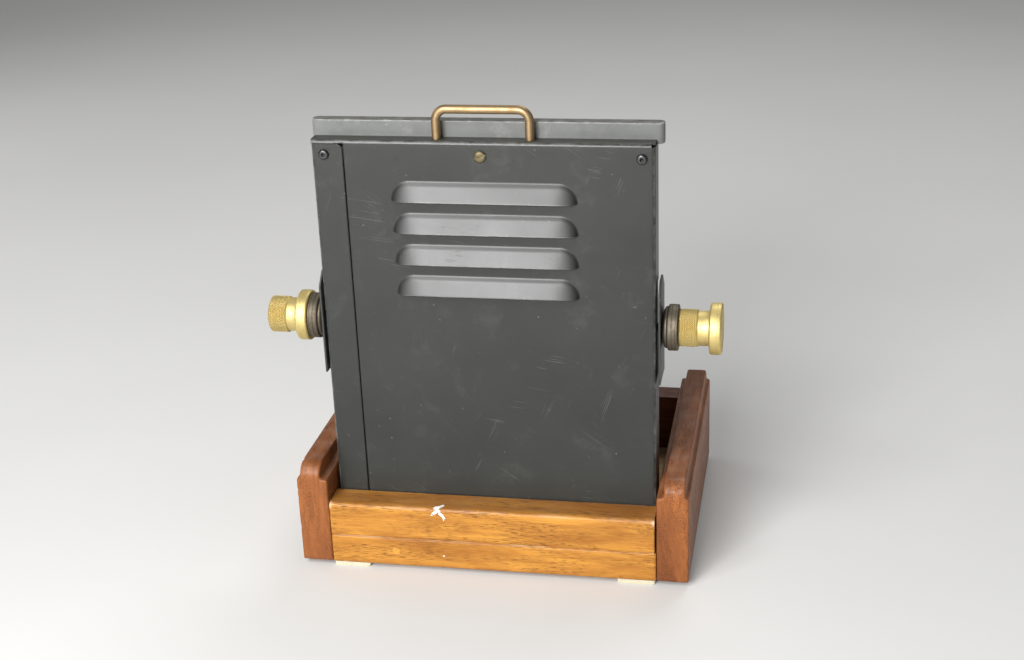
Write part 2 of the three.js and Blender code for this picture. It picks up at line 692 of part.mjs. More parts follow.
const mountedY = CHASSIS_FRONT_Y - SHEET - GAP;
const ballastBody = block(BALLAST_X - 40, BALLAST_X + 40, mountedY - 28, mountedY,
  BALLAST_Z - 20, BALLAST_Z + 20);
const ballastFeet = block(BALLAST_X - 50, BALLAST_X + 50, mountedY - 2, mountedY,
  BALLAST_Z - 16, BALLAST_Z + 16);
addNode('ballast', join(ballastBody, ballastFeet), 'ballastCase');

function terminalBlock() {
  const x0 = 30;
  const ways = 4;
  const pitch = 13;
  const wells = [];
  for (let i = 0; i < ways; i += 1) {
    wells.push(rodY(3, mountedY - 16, mountedY - 7, x0 + (i + 0.5) * pitch, BALLAST_Z, 8));
  }
  const body = block(x0, x0 + ways * pitch, mountedY - 14, mountedY, BALLAST_Z - 10, BALLAST_Z + 10);
  return cut(body, ...wells);
}
addNode('terminal_block', terminalBlock(), 'terminalPlastic');

function cableGland() {
  const face = CHASSIS_FRONT_Y + GAP;
  const barrel = [
    [face - 10, 3.5],
    [face - 10, GLAND_THREAD_RADIUS],
    [face + 1, GLAND_THREAD_RADIUS],
    [face + 1, 10.5],
    [face + 9, 10.5],
    [face + 16, 9],
    [face + 19, 6],
    [face + 19, 3.5],
  ];
  const collar = extrudeY(polygon(hexagon(22).map(([a, b]) => [a + GLAND_X, b + GLAND_Z])), face, face + 6);
  const opened = cut(collar, rodY(7, face - 1, face + 7, GLAND_X, GLAND_Z));
  return join(turnedY(barrel, 1, GLAND_X, GLAND_Z, 16), opened);
}
addNode('cable_gland', cableGland(), 'blackPlastic');

// ---------------------------------------------------------------- light box to floor

const panHead = [[0, 4], [1.2, 4], [2.4, 2.6], [2.7, 0]];
const floorScrewSeat = COVER_BOTTOM_Z + SHEET + GAP;
for (const [i, [side]] of SIDES.entries()) {
  const [x, y] = floorScrewPlaces[i];
  const shank = [[-9, 0], [-9, 2], [0, 2]];
  const screw = turned([...shank, ...panHead], 12).rotateX(Math.PI / 2);
  addNode(`${side}_floor_screw`, solid(screw.translate(x, y, floorScrewSeat)), 'steel');
}

// ---------------------------------------------------------------- negative carrier

const tongueTop = BAR_BOTTOM_Z + 5;
const tongueX = FRAME_HALF_WIDTH - 5;
const frameRear = CARRIER_Y - FRAME_THICKNESS / 2;
const frameFront = CARRIER_Y + FRAME_THICKNESS / 2;

function carrierBar() {
  const half = BAR_LENGTH / 2;
  const outline = roundedRectangle(
    BAR_X - half, CARRIER_Y - BAR_DEPTH / 2, BAR_X + half, CARRIER_Y + BAR_DEPTH / 2, 5);
  const groove = block(-tongueX - GAP, tongueX + GAP, frameRear - GAP, frameFront + GAP,
    BAR_BOTTOM_Z - 1, tongueTop + GAP);
  return cut(extrudeZ(outline, BAR_BOTTOM_Z, BAR_TOP_Z, 5), groove);
}
addNode('carrier_bar', carrierBar(), 'blackPaint');

const glassHalfWidth = WINDOW_HALF_WIDTH - 4;
const glassHalfHeight = WINDOW_HALF_HEIGHT - 4;

function carrierFrame() {
  const w = FRAME_HALF_WIDTH;
  let body = join(
    block(-w, w, frameRear, frameFront, FRAME_BOTTOM_Z, BAR_BOTTOM_Z - GAP),
    block(-tongueX, tongueX, frameRear, frameFront, BAR_BOTTOM_Z - 2, tongueTop),
  );
  for (const [, sign] of SIDES) {
    const [x0, x1] = sign > 0 ? [w - 22, w] : [-w, -w + 22];
    const [b0, b1] = sign > 0 ? [w - 19, w + 1] : [-w - 1, -w + 19];
    const lug = block(x0, x1, CARRIER_Y - 6, CARRIER_Y + 6, AXIS_Z - 10, AXIS_Z + 10);
    body = cut(join(body, lug), rodX(STUD_RADIUS + GAP, b0, b1, CARRIER_Y, AXIS_Z));
  }
  return cut(body, block(-glassHalfWidth, glassHalfWidth, frameRear - 1, frameFront + 1,
    AXIS_Z - glassHalfHeight, AXIS_Z + glassHalfHeight));
}
addNode('carrier_frame', carrierFrame(), 'blackPaint');

function negativeGlass(y0, y1) {
  const w = glassHalfWidth - GAP;
  const h = glassHalfHeight - GAP;
  return block(-w, w, y0, y1, AXIS_Z - h, AXIS_Z + h);
}
addNode('lamp_side_glass', negativeGlass(frameRear, CARRIER_Y - GAP), 'clearGlass');
addNode('lens_side_glass', negativeGlass(CARRIER_Y + GAP, frameFront), 'clearGlass');

// ---------------------------------------------------------------- studs, plates, washers, knobs

function slotPlate(sign) {
  const front = COVER_Y;
  const back = COVER_Y + PLATE_DEPTH;
  const bottom = AXIS_Z - PLATE_HEIGHT / 2;
  const top = AXIS_Z + PLATE_HEIGHT / 2;
  const outline = polygon([
    [front, bottom],
    [back, bottom],
    [back, top - PLATE_CHAMFER],
    [back - PLATE_CHAMFER, top],
    [front + PLATE_CHAMFER, top],
    [front, top - PLATE_CHAMFER],
  ]);
  const [x0, x1] = sign > 0 ? [PLATE_X, PLATE_X + PLATE_THICKNESS] : [-PLATE_X - PLATE_THICKNESS, -PLATE_X];
  return cut(extrudeX(outline, x0, x1), rodX(STUD_RADIUS + GAP, x0 - 1, x1 + 1, CARRIER_Y, AXIS_Z));
}

const washerX = PLATE_X + PLATE_THICKNESS + GAP;
const domeDepth = 4.6;
const ringX = washerX + domeDepth + GAP;
const ringEnd = KNOB_X - GAP;
const washerBore = STUD_RADIUS + GAP;

const domeProfile = [[washerX, washerBore], [washerX, 9]];
for (let i = 1; i <= 5; i += 1) {
  const angle = (Math.PI / 2) * (i / 5);
  domeProfile.push([washerX + (domeDepth - 1) * (1 - Math.cos(angle)), 9 + 10 * Math.sin(angle)]);
}
domeProfile.push([washerX + domeDepth, 19], [washerX + domeDepth, washerBore]);

const ringProfile = [
  [ringX, washerBore],
  [ringX, 19.8],
  [ringX + 1.2, 21.1],
  [ringEnd - 0.6, 21.1],
  [ringEnd, 20.4],
  [ringEnd, washerBore],
];

// The knob's three turned stretches in order outwards; the left knob is mounted the other way round.
const knobLength = KNOB_BARREL + KNOB_NECK + KNOB_FLANGE;

function barrelStretch(from) {
  return [[from, 16.2], [from + 0.9, 17], [from + KNOB_BARREL - 0.9, 17], [from + KNOB_BARREL, 16.2]];
}

function flangeStretch(from) {
  const to = from + KNOB_FLANGE;
  return [[from, 21.7], [from + 1.8, 23.5], [to - 1.8, 23.5], [to, 21.7]];
}

function knobProfile(flangeOutboard) {
  const neck = 16;
  const end = KNOB_X + knobLength;
  const outline = [];
  if (flangeOutboard) {
    const neckStart = KNOB_X + KNOB_BARREL;
    outline.push(...barrelStretch(KNOB_X), [neckStart, neck], [neckStart + KNOB_NECK, neck]);
    outline.push(...flangeStretch(neckStart + KNOB_NECK));
  } else {
    const neckStart = KNOB_X + KNOB_FLANGE;
    outline.push(...flangeStretch(KNOB_X), [neckStart, neck], [neckStart + KNOB_NECK, neck]);
    outline.push(...barrelStretch(neckStart + KNOB_NECK));
  }
  const boreEnd = end - 6;
  return [[boreEnd, 0], [boreEnd, washerBore], [KNOB_X, washerBore], ...outline, [end, 0]];
}

for (const [side, sign] of SIDES) {
  const [x0, x1] = sign > 0 ? [FRAME_HALF_WIDTH - 18, KNOB_X + 31] : [-KNOB_X - 31, -FRAME_HALF_WIDTH + 18];
  addNode(`${side}_stud`, rodX(STUD_RADIUS, x0, x1, CARRIER_Y, AXIS_Z), 'steel');
  addNode(`${side}_slot_plate`, slotPlate(sign), 'blackPaint');
  addNode(`${side}_domed_washer`, turnedX(domeProfile, sign, CARRIER_Y, AXIS_Z), 'greySpacer');
  addNode(`${side}_ring_washer`, turnedX(ringProfile, sign, CARRIER_Y, AXIS_Z), 'greySpacer');
  addNode(`${side}_knob`, turnedX(knobProfile(sign > 0), sign, CARRIER_Y, AXIS_Z, 28), 'brass');
}

// ---------------------------------------------------------------- bellows

const frameStart = CHASSIS_FRONT_Y + GAP;
const bellowsFrame = cut(
  block(-BELLOWS_FRAME_HALF_WIDTH, BELLOWS_FRAME_HALF_WIDTH, frameStart, frameStart + BELLOWS_FRAME_DEPTH,
    AXIS_Z - BELLOWS_FRAME_HALF_HEIGHT, AXIS_Z + BELLOWS_FRAME_HALF_HEIGHT),
  block(-WINDOW_HALF_WIDTH, WINDOW_HALF_WIDTH, frameStart - 1, frameStart + BELLOWS_FRAME_DEPTH + 1,
    AXIS_Z - WINDOW_HALF_HEIGHT, AXIS_Z + WINDOW_HALF_HEIGHT),
);
addNode('bellows_frame', bellowsFrame, 'blackPaint');

// Square pleated tube: outer and inner skins zigzag together from the frame to the standard.
function bellows() {
  const start = frameStart + BELLOWS_FRAME_DEPTH + GAP;
  const end = STANDARD_Y - GAP;
  const rings = 2 * BELLOWS_FOLDS + 1;
  const positions = [];
  const index = [];
  const corners = [[-1, -1], [1, -1], [1, 1], [-1, 1]];
  const lerp = THREE.MathUtils.lerp;
  for (const inset of [0, BELLOWS_WALL]) {
    for (let i = 0; i < rings; i += 1) {
      const t = i / (rings - 1);
      const depth = i % 2 === 0 ? PLEAT_DEPTH : 0;
      const w = lerp(BELLOWS_WIDE_HALF_WIDTH, BELLOWS_NARROW_HALF, t) - depth - inset;
      const h = lerp(BELLOWS_WIDE_HALF_HEIGHT, BELLOWS_NARROW_HALF, t) - depth - inset;
      for (const [cx, cz] of corners) {
        positions.push(cx * w, lerp(start, end, t), AXIS_Z + cz * h);
      }
    }
  }
  const quad = (a, b, c, d) => index.push(a, c, b, a, d, c);
  const inner = rings * 4;
  for (let i = 0; i < rings - 1; i += 1) {
    for (let k = 0; k < 4; k += 1) {
      const next = (k + 1) % 4;
      const [a, b] = [i * 4 + k, i * 4 + next];
      quad(a, b, b + 4, a + 4);
      quad(inner + b, inner + a, inner + a + 4, inner + b + 4);
    }
  }
  const last = (rings - 1) * 4;
  for (let k = 0; k < 4; k += 1) {
    const next = (k + 1) % 4;
    quad(next, k, inner + k, inner + next);
    quad(last + k, last + next, inner + last + next, inner + last + k);
  }
  const geometry = new THREE.BufferGeometry();
  geometry.setAttribute('position', new THREE.Float32BufferAttribute(positions, 3));
  geometry.setIndex(index);
  return solid(geometry);
}
addNode('bellows', bellows(), 'bellowsCloth');

// ---------------------------------------------------------------- lens standard and lens

const carriageRear = STANDARD_Y - 11;
const carriageFront = carriageRear + CARRIAGE_LENGTH;
const uprightFront = STANDARD_Y + STANDARD_THICKNESS;

function lensStandard() {
  const w = STANDARD_HALF_WIDTH;
  const carriage = block(-CARRIAGE_HALF_WIDTH, CARRIAGE_HALF_WIDTH, carriageRear, carriageFront,
    CARRIAGE_BOTTOM_Z, CARRIAGE_TOP_Z);
  const outline = roundedRectangle(-w, CARRIAGE_TOP_Z - 7, w, AXIS_Z + STANDARD_TOP, 8);
  const upright = extrudeY(outline, STANDARD_Y, uprightFront, 3);
  const gussets = [-w + 10, w - 10].map((x) => {
    const foot = CARRIAGE_TOP_Z - 2;
    const web = polygon([[uprightFront - 1, foot], [carriageFront - 1, foot], [uprightFront - 1, foot + 70]]);
    return extrudeX(web, x - 3, x + 3);
  });
  return cut(
    join(carriage, upright, ...gussets),
    rodY(STANDARD_HOLE_RADIUS, STANDARD_Y - 1, uprightFront + 1, 0, AXIS_Z, 32),
    rodY(ROD_RADIUS + GAP, carriageRear - 1, carriageFront + 1, -ROD_X, ROD_Z),
    rodY(ROD_RADIUS + GAP, carriageRear - 1, carriageFront + 1, ROD_X, ROD_Z),
    rodX(SHAFT_RADIUS + GAP, -CARRIAGE_HALF_WIDTH - 1, CARRIAGE_HALF_WIDTH + 1, PINION_Y, PINION_Z),
    block(-9, 9, PINION_Y - 10.5, PINION_Y + 10.5, CARRIAGE_BOTTOM_Z - 1, PINION_Z + 10.5),
  );
}
addNode('lens_standard', lensStandard(), 'castGrey');

const boardY = uprightFront + GAP;
const lensBoard = cut(
  extrudeY(roundedRectangle(-BOARD_HALF, AXIS_Z - BOARD_HALF, BOARD_HALF, AXIS_Z + BOARD_HALF, 5),
    boardY, boardY + BOARD_THICKNESS, 3),
  rodY(BARREL_RADIUS + GAP, boardY - 1, boardY + BOARD_THICKNESS + 1, 0, AXIS_Z, 28),
);
addNode('lens_board', lensBoard, 'blackPaint');

const flangeY = boardY + BOARD_THICKNESS + GAP;
const barrelBack = flangeY - 22;
const ringStart = flangeY + 12;
const ringStop = ringStart + RING_LENGTH;
const lensFront = ringStop + 12;
const barrelProfile = [
  [barrelBack, GLASS_RADIUS],
  [barrelBack, BARREL_RADIUS],
  [flangeY, BARREL_RADIUS],
  [flangeY, LENS_FLANGE_RADIUS],
  [flangeY + 3, LENS_FLANGE_RADIUS],
  [flangeY + 4, 25],
  [ringStart, 25],
  [ringStart, RING_SEAT_RADIUS],
  [ringStop, RING_SEAT_RADIUS],
  [ringStop, 26],
  [lensFront - 1.5, 26],
  [lensFront, 24.5],
  [lensFront, 20],
  [lensFront - 5, GLASS_RADIUS],
];
addNode('lens_barrel', turnedY(barrelProfile, 1, 0, AXIS_Z, 28), 'lensBlack');

const apertureRadius = RING_SEAT_RADIUS + 5;
const apertureProfile = [
  [ringStart + GAP, RING_SEAT_RADIUS + GAP],
  [ringStart + GAP, apertureRadius],
  [ringStop - GAP, apertureRadius],
  [ringStop - GAP, RING_SEAT_RADIUS + GAP],
];
const notchZ = AXIS_Z + apertureRadius - 1.2;
const apertureNotch = block(-1.5, 1.5, ringStart, ringStop, notchZ, notchZ + 3);
addNode('aperture_ring', cut(turnedY(apertureProfile, 1, 0, AXIS_Z, 28), apertureNotch), 'brass');

function lensElement(rear, front, crown) {
  const radius = GLASS_RADIUS - GAP;
  const profile = [[rear - crown, 0]];
  for (let i = 1; i <= 3; i += 1) {
    profile.push([rear - crown * (1 - (i / 3) ** 2), radius * i / 3]);
  }
  for (let i = 3; i >= 1; i -= 1) {
    profile.push([front + crown * (1 - (i / 3) ** 2), radius * i / 3]);
  }
  profile.push([front + crown, 0]);
  return turnedY(profile, 1, 0, AXIS_Z, 16);
}
addNode('front_lens', lensElement(lensFront - 11, lensFront - 8, 2.5), 'clearGlass');
addNode('rear_lens', lensElement(flangeY - 18, flangeY - 15, 2.5), 'clearGlass');

// ---------------------------------------------------------------- guide rods, rack and pinion

const rodSupportRear = boardRear - GAP;
const rodSupportDepth = 11;
const rodSupportFront = CHASSIS_FRONT_Y + 0.7;
const supports = {
  front: [rodSupportFront, rodSupportFront + rodSupportDepth],
  rear: [rodSupportRear - rodSupportDepth, rodSupportRear],
};
for (const [place, [y0, y1]] of Object.entries(supports)) {
  const body = cut(
    block(-CARRIAGE_HALF_WIDTH, CARRIAGE_HALF_WIDTH, y0, y1, FLOOR_TOP_Z + GAP, ROD_Z + 10),
    rodY(ROD_RADIUS + GAP, y0 - 1, y1 + 1, -ROD_X, ROD_Z),
    rodY(ROD_RADIUS + GAP, y0 - 1, y1 + 1, ROD_X, ROD_Z),
  );
  addNode(`${place}_rod_support`, body, 'castGrey');
}
for (const [side, sign] of SIDES) {
  const rod = rodY(ROD_RADIUS, rodSupportFront + 0.5, rodSupportRear - 0.5, sign * ROD_X, ROD_Z);
  addNode(`${side}_guide_rod`, rod, 'steel');
}

const toothPitch = Math.PI * RACK_MODULE;
const toothDepth = 2.2 * RACK_MODULE;
const backlash = 0.35;

// Rack teeth with straight flanks; one tooth space is centred under the pinion at rest.
function focusRack() {
  const root = RACK_TOP_Z - toothDepth;
  const behind = 6;                 // spaces behind and ahead of the pinion's rest place
  const ahead = 13;
  const from = PINION_Y - (behind + 1) * toothPitch;
  const to = PINION_Y + (ahead + 1) * toothPitch;
  const floorZ = FLOOR_TOP_Z + GAP;
  const flank = RACK_MODULE * 0.36;
  const tip = toothPitch / 4 - flank - backlash / 2;
  const foot = toothPitch / 4 + flank - backlash / 2;
  const outline = [[from, floorZ], [to, floorZ], [to, root]];
  for (let i = ahead; i >= -behind; i -= 1) {
    const centre = PINION_Y + (i - 0.5) * toothPitch;
    outline.push([centre + foot, root], [centre + tip, RACK_TOP_Z]);
    outline.push([centre - tip, RACK_TOP_Z], [centre - foot, root]);
  }
  outline.push([from, root]);
  return extrudeX(polygon(outline), -6, 6);
}
addNode('focus_rack', focusRack(), 'brass');

// Pinion and shaft in one piece; one tooth points straight down into the rack at rest.
function pinionShaft() {
  const pitchRadius = RACK_MODULE * PINION_TEETH / 2;
  const outline = [];
  for (let i = 0; i < PINION_TEETH; i += 1) {
    const middle = -Math.PI / 2 + (2 * Math.PI * i) / PINION_TEETH;
    const rootHalf = Math.PI / PINION_TEETH * 0.66;
    const tipHalf = Math.PI / PINION_TEETH * 0.2;
    const rootRadius = pitchRadius - 1.15 * RACK_MODULE;
    const tipRadius = pitchRadius + 0.85 * RACK_MODULE;
    for (const [radius, angle] of [
      [rootRadius, middle - rootHalf],
      [tipRadius, middle - tipHalf],
      [tipRadius, middle + tipHalf],
      [rootRadius, middle + rootHalf],
    ]) {
      outline.push([PINION_Y + radius * Math.cos(angle), PINION_Z + radius * Math.sin(angle)]);
    }
  }
  const shaft = rodX(SHAFT_RADIUS, -CARRIAGE_HALF_WIDTH - 4, FOCUS_KNOB_X + 15, PINION_Y, PINION_Z);
  return join(extrudeX(polygon(outline), -7, 7), shaft);
}
addNode('pinion_shaft', pinionShaft(), 'steel');

const focusKnobEnd = FOCUS_KNOB_X + FOCUS_KNOB_LENGTH;
const focusKnobProfile = [
  [focusKnobEnd - 2, 0],
  [focusKnobEnd - 2, SHAFT_RADIUS + GAP],
  [FOCUS_KNOB_X, SHAFT_RADIUS + GAP],
  [FOCUS_KNOB_X, 8],
  [FOCUS_KNOB_X + 4, 8],
  [FOCUS_KNOB_X + 4, FOCUS_KNOB_RADIUS - 1],
  [FOCUS_KNOB_X + 5, FOCUS_KNOB_RADIUS],
  [focusKnobEnd - 1, FOCUS_KNOB_RADIUS],
  [focusKnobEnd, FOCUS_KNOB_RADIUS - 1],
  [focusKnobEnd, 0],
];
addNode('focus_knob', turnedX(focusKnobProfile, 1, PINION_Y, PINION_Z), 'blackPlastic');

export default enlarger;
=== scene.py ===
import json
import math
import random

import bmesh
import bpy
import numpy as np
from mathutils import Matrix, Vector, noise


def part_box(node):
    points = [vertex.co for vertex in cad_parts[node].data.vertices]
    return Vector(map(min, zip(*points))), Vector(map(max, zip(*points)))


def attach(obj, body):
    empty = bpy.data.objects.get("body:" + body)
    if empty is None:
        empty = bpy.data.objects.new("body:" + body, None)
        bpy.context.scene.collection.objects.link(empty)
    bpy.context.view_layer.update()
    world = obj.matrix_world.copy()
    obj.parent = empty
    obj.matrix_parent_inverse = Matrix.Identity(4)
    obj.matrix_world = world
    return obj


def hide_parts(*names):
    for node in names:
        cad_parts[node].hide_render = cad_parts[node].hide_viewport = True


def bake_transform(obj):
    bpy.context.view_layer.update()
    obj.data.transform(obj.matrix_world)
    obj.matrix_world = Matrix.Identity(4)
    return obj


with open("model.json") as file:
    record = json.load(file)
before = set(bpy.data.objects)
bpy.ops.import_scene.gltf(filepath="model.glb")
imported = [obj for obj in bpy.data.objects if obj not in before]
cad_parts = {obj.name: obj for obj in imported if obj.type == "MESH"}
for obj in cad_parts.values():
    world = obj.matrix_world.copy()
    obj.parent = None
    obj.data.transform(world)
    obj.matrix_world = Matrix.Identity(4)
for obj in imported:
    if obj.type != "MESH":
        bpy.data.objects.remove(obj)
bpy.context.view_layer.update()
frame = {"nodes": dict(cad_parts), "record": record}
scene = bpy.context.scene
MM = 0.001
TURN = 2 * math.pi
QUARTER = math.pi / 2

# ---- places taken from the frame


def span(node, axis):
    low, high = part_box(node)
    return low["XYZ".index(axis)], high["XYZ".index(axis)]


def middle(node):
    low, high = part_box(node)
    return (low + high) / 2


def half_width(node, axis):
    low, high = span(node, axis)
    return (high - low) / 2


FACE_Y = span("cover_corner_strip", "Y")[0]          # outer face of the louvred cover
SEAM_X = span("cover_corner_strip", "X")[1]          # right edge of the corner strip
COVER_LEFT, COVER_RIGHT = span("louvred_cover", "X")
COVER_BOTTOM, COVER_TOP = span("louvred_cover", "Z")
RETURN_BACK = span("louvred_cover", "Y")[1]          # free edge of the cover's side returns
CARRIER_Y, AXIS_Z = middle("left_stud").yz           # the studs, window and lens are on this height

# ---- camera, lights and world

CAMERA_PLACE = (0.28676, -1.4265, 0.78644)
CAMERA_YAW, CAMERA_PITCH, CAMERA_ROLL = (math.radians(a) for a in (-11.32, -22.13, -2.25))
LENS_MM = 56.62
TARGET = (0, 0, 0.2)


def linked(name, data):
    obj = bpy.data.objects.new(name, data)
    scene.collection.objects.link(obj)
    return obj


def softbox(name, place, aim, size, watts):
    data = bpy.data.lights.new(name, "AREA")
    data.shape = "RECTANGLE"
    data.size, data.size_y = size
    data.energy = watts
    lamp = linked(name, data)
    lamp.location = place
    lamp.rotation_euler = (Vector(aim) - Vector(place)).to_track_quat("-Z", "Y").to_euler()
    lamp.visible_camera = False


scene.camera = linked("camera", bpy.data.cameras.new("camera"))
scene.camera.data.lens = LENS_MM
view = Matrix.Translation(CAMERA_PLACE)
for angle, axis in ((-CAMERA_YAW, "Z"), (QUARTER + CAMERA_PITCH, "X"), (CAMERA_ROLL, "Z")):
    view @= Matrix.Rotation(angle, 4, axis)
scene.camera.matrix_world = view

softbox("key_softbox", (-0.85, -1.55, 2.0), TARGET, (1.0, 0.8), 30)
softbox("front_softbox", (-0.42, -2.0, 1.02), (0, 0, 0.3), (1.0, 0.7), 56)
softbox("fill_softbox", (1.9, -1.3, 1.0), TARGET, (1.4, 1.4), 2)
softbox("back_softbox", (0.5, 1.5, 2.4), TARGET, (1.4, 1.0), 24)
softbox("side_softbox", (-2.0, 1.0, 1.1), TARGET, (1.2, 1.2), 7)

scene.world = scene.world or bpy.data.worlds.new("studio")
scene.world.use_nodes = True
sky = scene.world.node_tree.nodes["Background"].inputs
sky["Color"].default_value = (0.86, 0.87, 0.88, 1)
sky["Strength"].default_value = 0.26
scene.view_settings.view_transform = "Standard"

# ---- a small writer for materials


class Finish:
    """One procedural material. It keeps the colour so far as tone; most methods give back a socket."""

    def __init__(self, name, **sockets):
        self.material = bpy.data.materials.new(name)
        self.material.use_nodes = True
        self.shader = self.material.node_tree.nodes["Principled BSDF"]
        for socket, value in sockets.items():
            self.put(self.shader.inputs[socket.replace("_", " ")], value)
        self.place = self.node("TexCoord", "Object")

    def put(self, socket, value):
        if isinstance(value, bpy.types.NodeSocket):
            self.material.node_tree.links.new(value, socket)
        else:
            socket.default_value = (*value, 1) if socket.type == "RGBA" else value

    def node(self, kind, output, inputs=(), **settings):
        """Adds a node, fills its inputs, which are a dict or in order, and gives back an output."""
        node = self.material.node_tree.nodes.new("ShaderNode" + kind)
        for key, value in settings.items():
            setattr(node, key, value)
        for key, value in inputs.items() if isinstance(inputs, dict) else enumerate(inputs):
            self.put(node.inputs[key], value)
        return node.outputs[output]

    def mapped(self, scale, turn=(0, 0, 0)):
        """The object's own coordinates, turned first and then scaled."""
        inputs = {"Vector": self.place, "Rotation": [math.radians(a) for a in turn],
                  "Scale": [1 / s for s in scale]}
        return self.node("Mapping", "Vector", inputs, vector_type="TEXTURE")

    def noise(self, scale, detail=4.0, rough=0.55, warp=0.0, turn=(0, 0, 0)):
        """scale is per metre, one number or one along each axis."""
        scale = scale if isinstance(scale, tuple) else (scale,) * 3
        return self.node("TexNoise", "Fac", {"Vector": self.mapped(scale, turn), "Scale": 1,
                                             "Detail": detail, "Roughness": rough, "Distortion": warp})

    def cells(self, scale, feature="F1"):
        inputs = {"Vector": self.mapped((scale,) * 3), "Scale": 1}
        return self.node("TexVoronoi", "Distance", inputs, feature=feature)

    def level(self, value, low, high, to_low=0.0, to_high=1.0):
        return self.node("MapRange", 0, (value, low, high, to_low, to_high), clamp=True)

    def math(self, operation, a, b=0.0):
        return self.node("Math", 0, (a, b), operation=operation)

    def plus(self, a, b):
        return self.math("ADD", a, b)

    def times(self, total, *values):
        for value in values:
            total = self.math("MULTIPLY", total, value)
        return total

    def mix(self, amount, a, b):
        return self.node("Mix", 2, {0: amount, 6: a, 7: b}, data_type="RGBA")

    def start(self, value, low, high, one, other):
        """The first colours: one where the value is low and the other where it is high."""
        self.tone = self.mix(self.level(value, low, high), one, other)

    def over(self, color, amount):
        self.tone = self.mix(amount, self.tone, color)

    def attribute(self, name):
        return self.node("Attribute", "Fac", attribute_name=name)

    def along(self, axis, vector=None):
        return self.node("SeparateXYZ", axis, (vector or self.place,))

    def facing_up(self):
        """0 on walls and 1 on level tops, in the object's own frame."""
        return self.level(self.along("Z", self.node("TexCoord", "Normal")), 0.55, 0.95)

    def level_top_patches(self, value, low, high, amount):
        """Patches on level tops only: dust, and in the enamel also painted shade."""
        return self.times(self.facing_up(), self.level(value, low, high), amount)

    def rubbed(self, value, low, high):
        """Broken wear along the edges that the mesh has marked."""
        return self.times(self.attribute("edge"), self.level(value, low, high))

    def scratches(self, turns, rarity=0.66):
        """Few, fine scratches. Each turn is one direction, and each appears only in its own patches."""
        total = 0.0
        for i, turn in enumerate(turns):
            streak = self.noise((18, 1300, 1300), 0.0, warp=0.15, turn=turn)
            patch = self.noise(16 + 3 * i, 1.0, turn=(20 * i, 0, 40 * i))
            line = self.times(self.level(streak, 0.74, 0.78), self.level(patch, rarity, rarity + 0.06))
            total = self.math("MAXIMUM", total, line)
        return total

    def bump(self, height, distance=MM, strength=1.0):
        return self.node("Bump", "Normal", {"Height": height, "Distance": distance, "Strength": strength})

    def finish(self, roughness, normal=None):
        self.put(self.shader.inputs["Base Color"], self.tone)
        self.put(self.shader.inputs["Roughness"], roughness)
        if normal:
            self.put(self.shader.inputs["Normal"], normal)
        return self.material


def shade(color, share):
    return tuple(min(1, c * share) for c in color)


# ---- materials

SCRATCH_TURNS = ((0, 35, 0), (0, -62, 0), (0, 8, 0), (0, 110, 0))


def enamel(name, color, worn, roughness=0.42, dust_and_shade=0.5, scuff=0.5, peel=0.03, bare=0.8):
    """Air-dried paint: cloudy tone, faint scuffs, bare edges, dust on its level tops in a dark colour that
    is partly painted shade, and painted shade in the hollows that its mesh marks.
    """
    f = Finish(name, Specular_IOR_Level=0.5)
    cloud = f.noise(9, 6, 0.6)
    haze = f.noise(34, 6, 0.7, 0.4)
    f.start(cloud, 0.35, 0.68, shade(color, 0.86), shade(color, 1.16))
    f.over(worn, f.times(f.level(haze, 0.56, 0.8), scuff))
    f.over(worn, f.times(f.level(f.noise(240, 3), 0.72, 0.78), 0.5))
    f.over(shade(color, 0.4), f.level(f.noise(120, 2), 0.74, 0.78, 0, 0.6))
    marks = f.scratches(SCRATCH_TURNS)
    f.over(worn, f.times(marks, 0.25))
    f.over(worn, f.level(f.rubbed(f.noise(110, 6), 0.30, 0.62), 0.2, 0.8, 0, bare))
    # dust on level tops; its dark colour is also painted shade that darkens the tops, most on the rubbed bar
    level_top_patches = f.level_top_patches(f.noise(70, 6), 0.3, 0.7, dust_and_shade)
    f.over((0.06, 0.052, 0.04), level_top_patches)
    # painted shade: darker, rougher paint in the hollows that the mesh marks, such as the painted shadow
    # under the louvres' lips and the darkened louvre ends
    shade_in_hollows = f.level(f.attribute("hollow"), 0, 1, 0, 0.85)
    f.over(shade(color, 0.2), shade_in_hollows)
    gloss = f.plus(f.level(cloud, 0.3, 0.7, roughness - 0.04, roughness + 0.05), f.times(level_top_patches, 0.3))
    gloss = f.math("SUBTRACT", gloss, f.times(f.attribute("edge"), 0.14))
    height = f.plus(f.times(f.noise(650, 2), peel), f.times(marks, -0.06))
    return f.finish(f.plus(gloss, f.times(shade_in_hollows, 0.4)), f.bump(height))


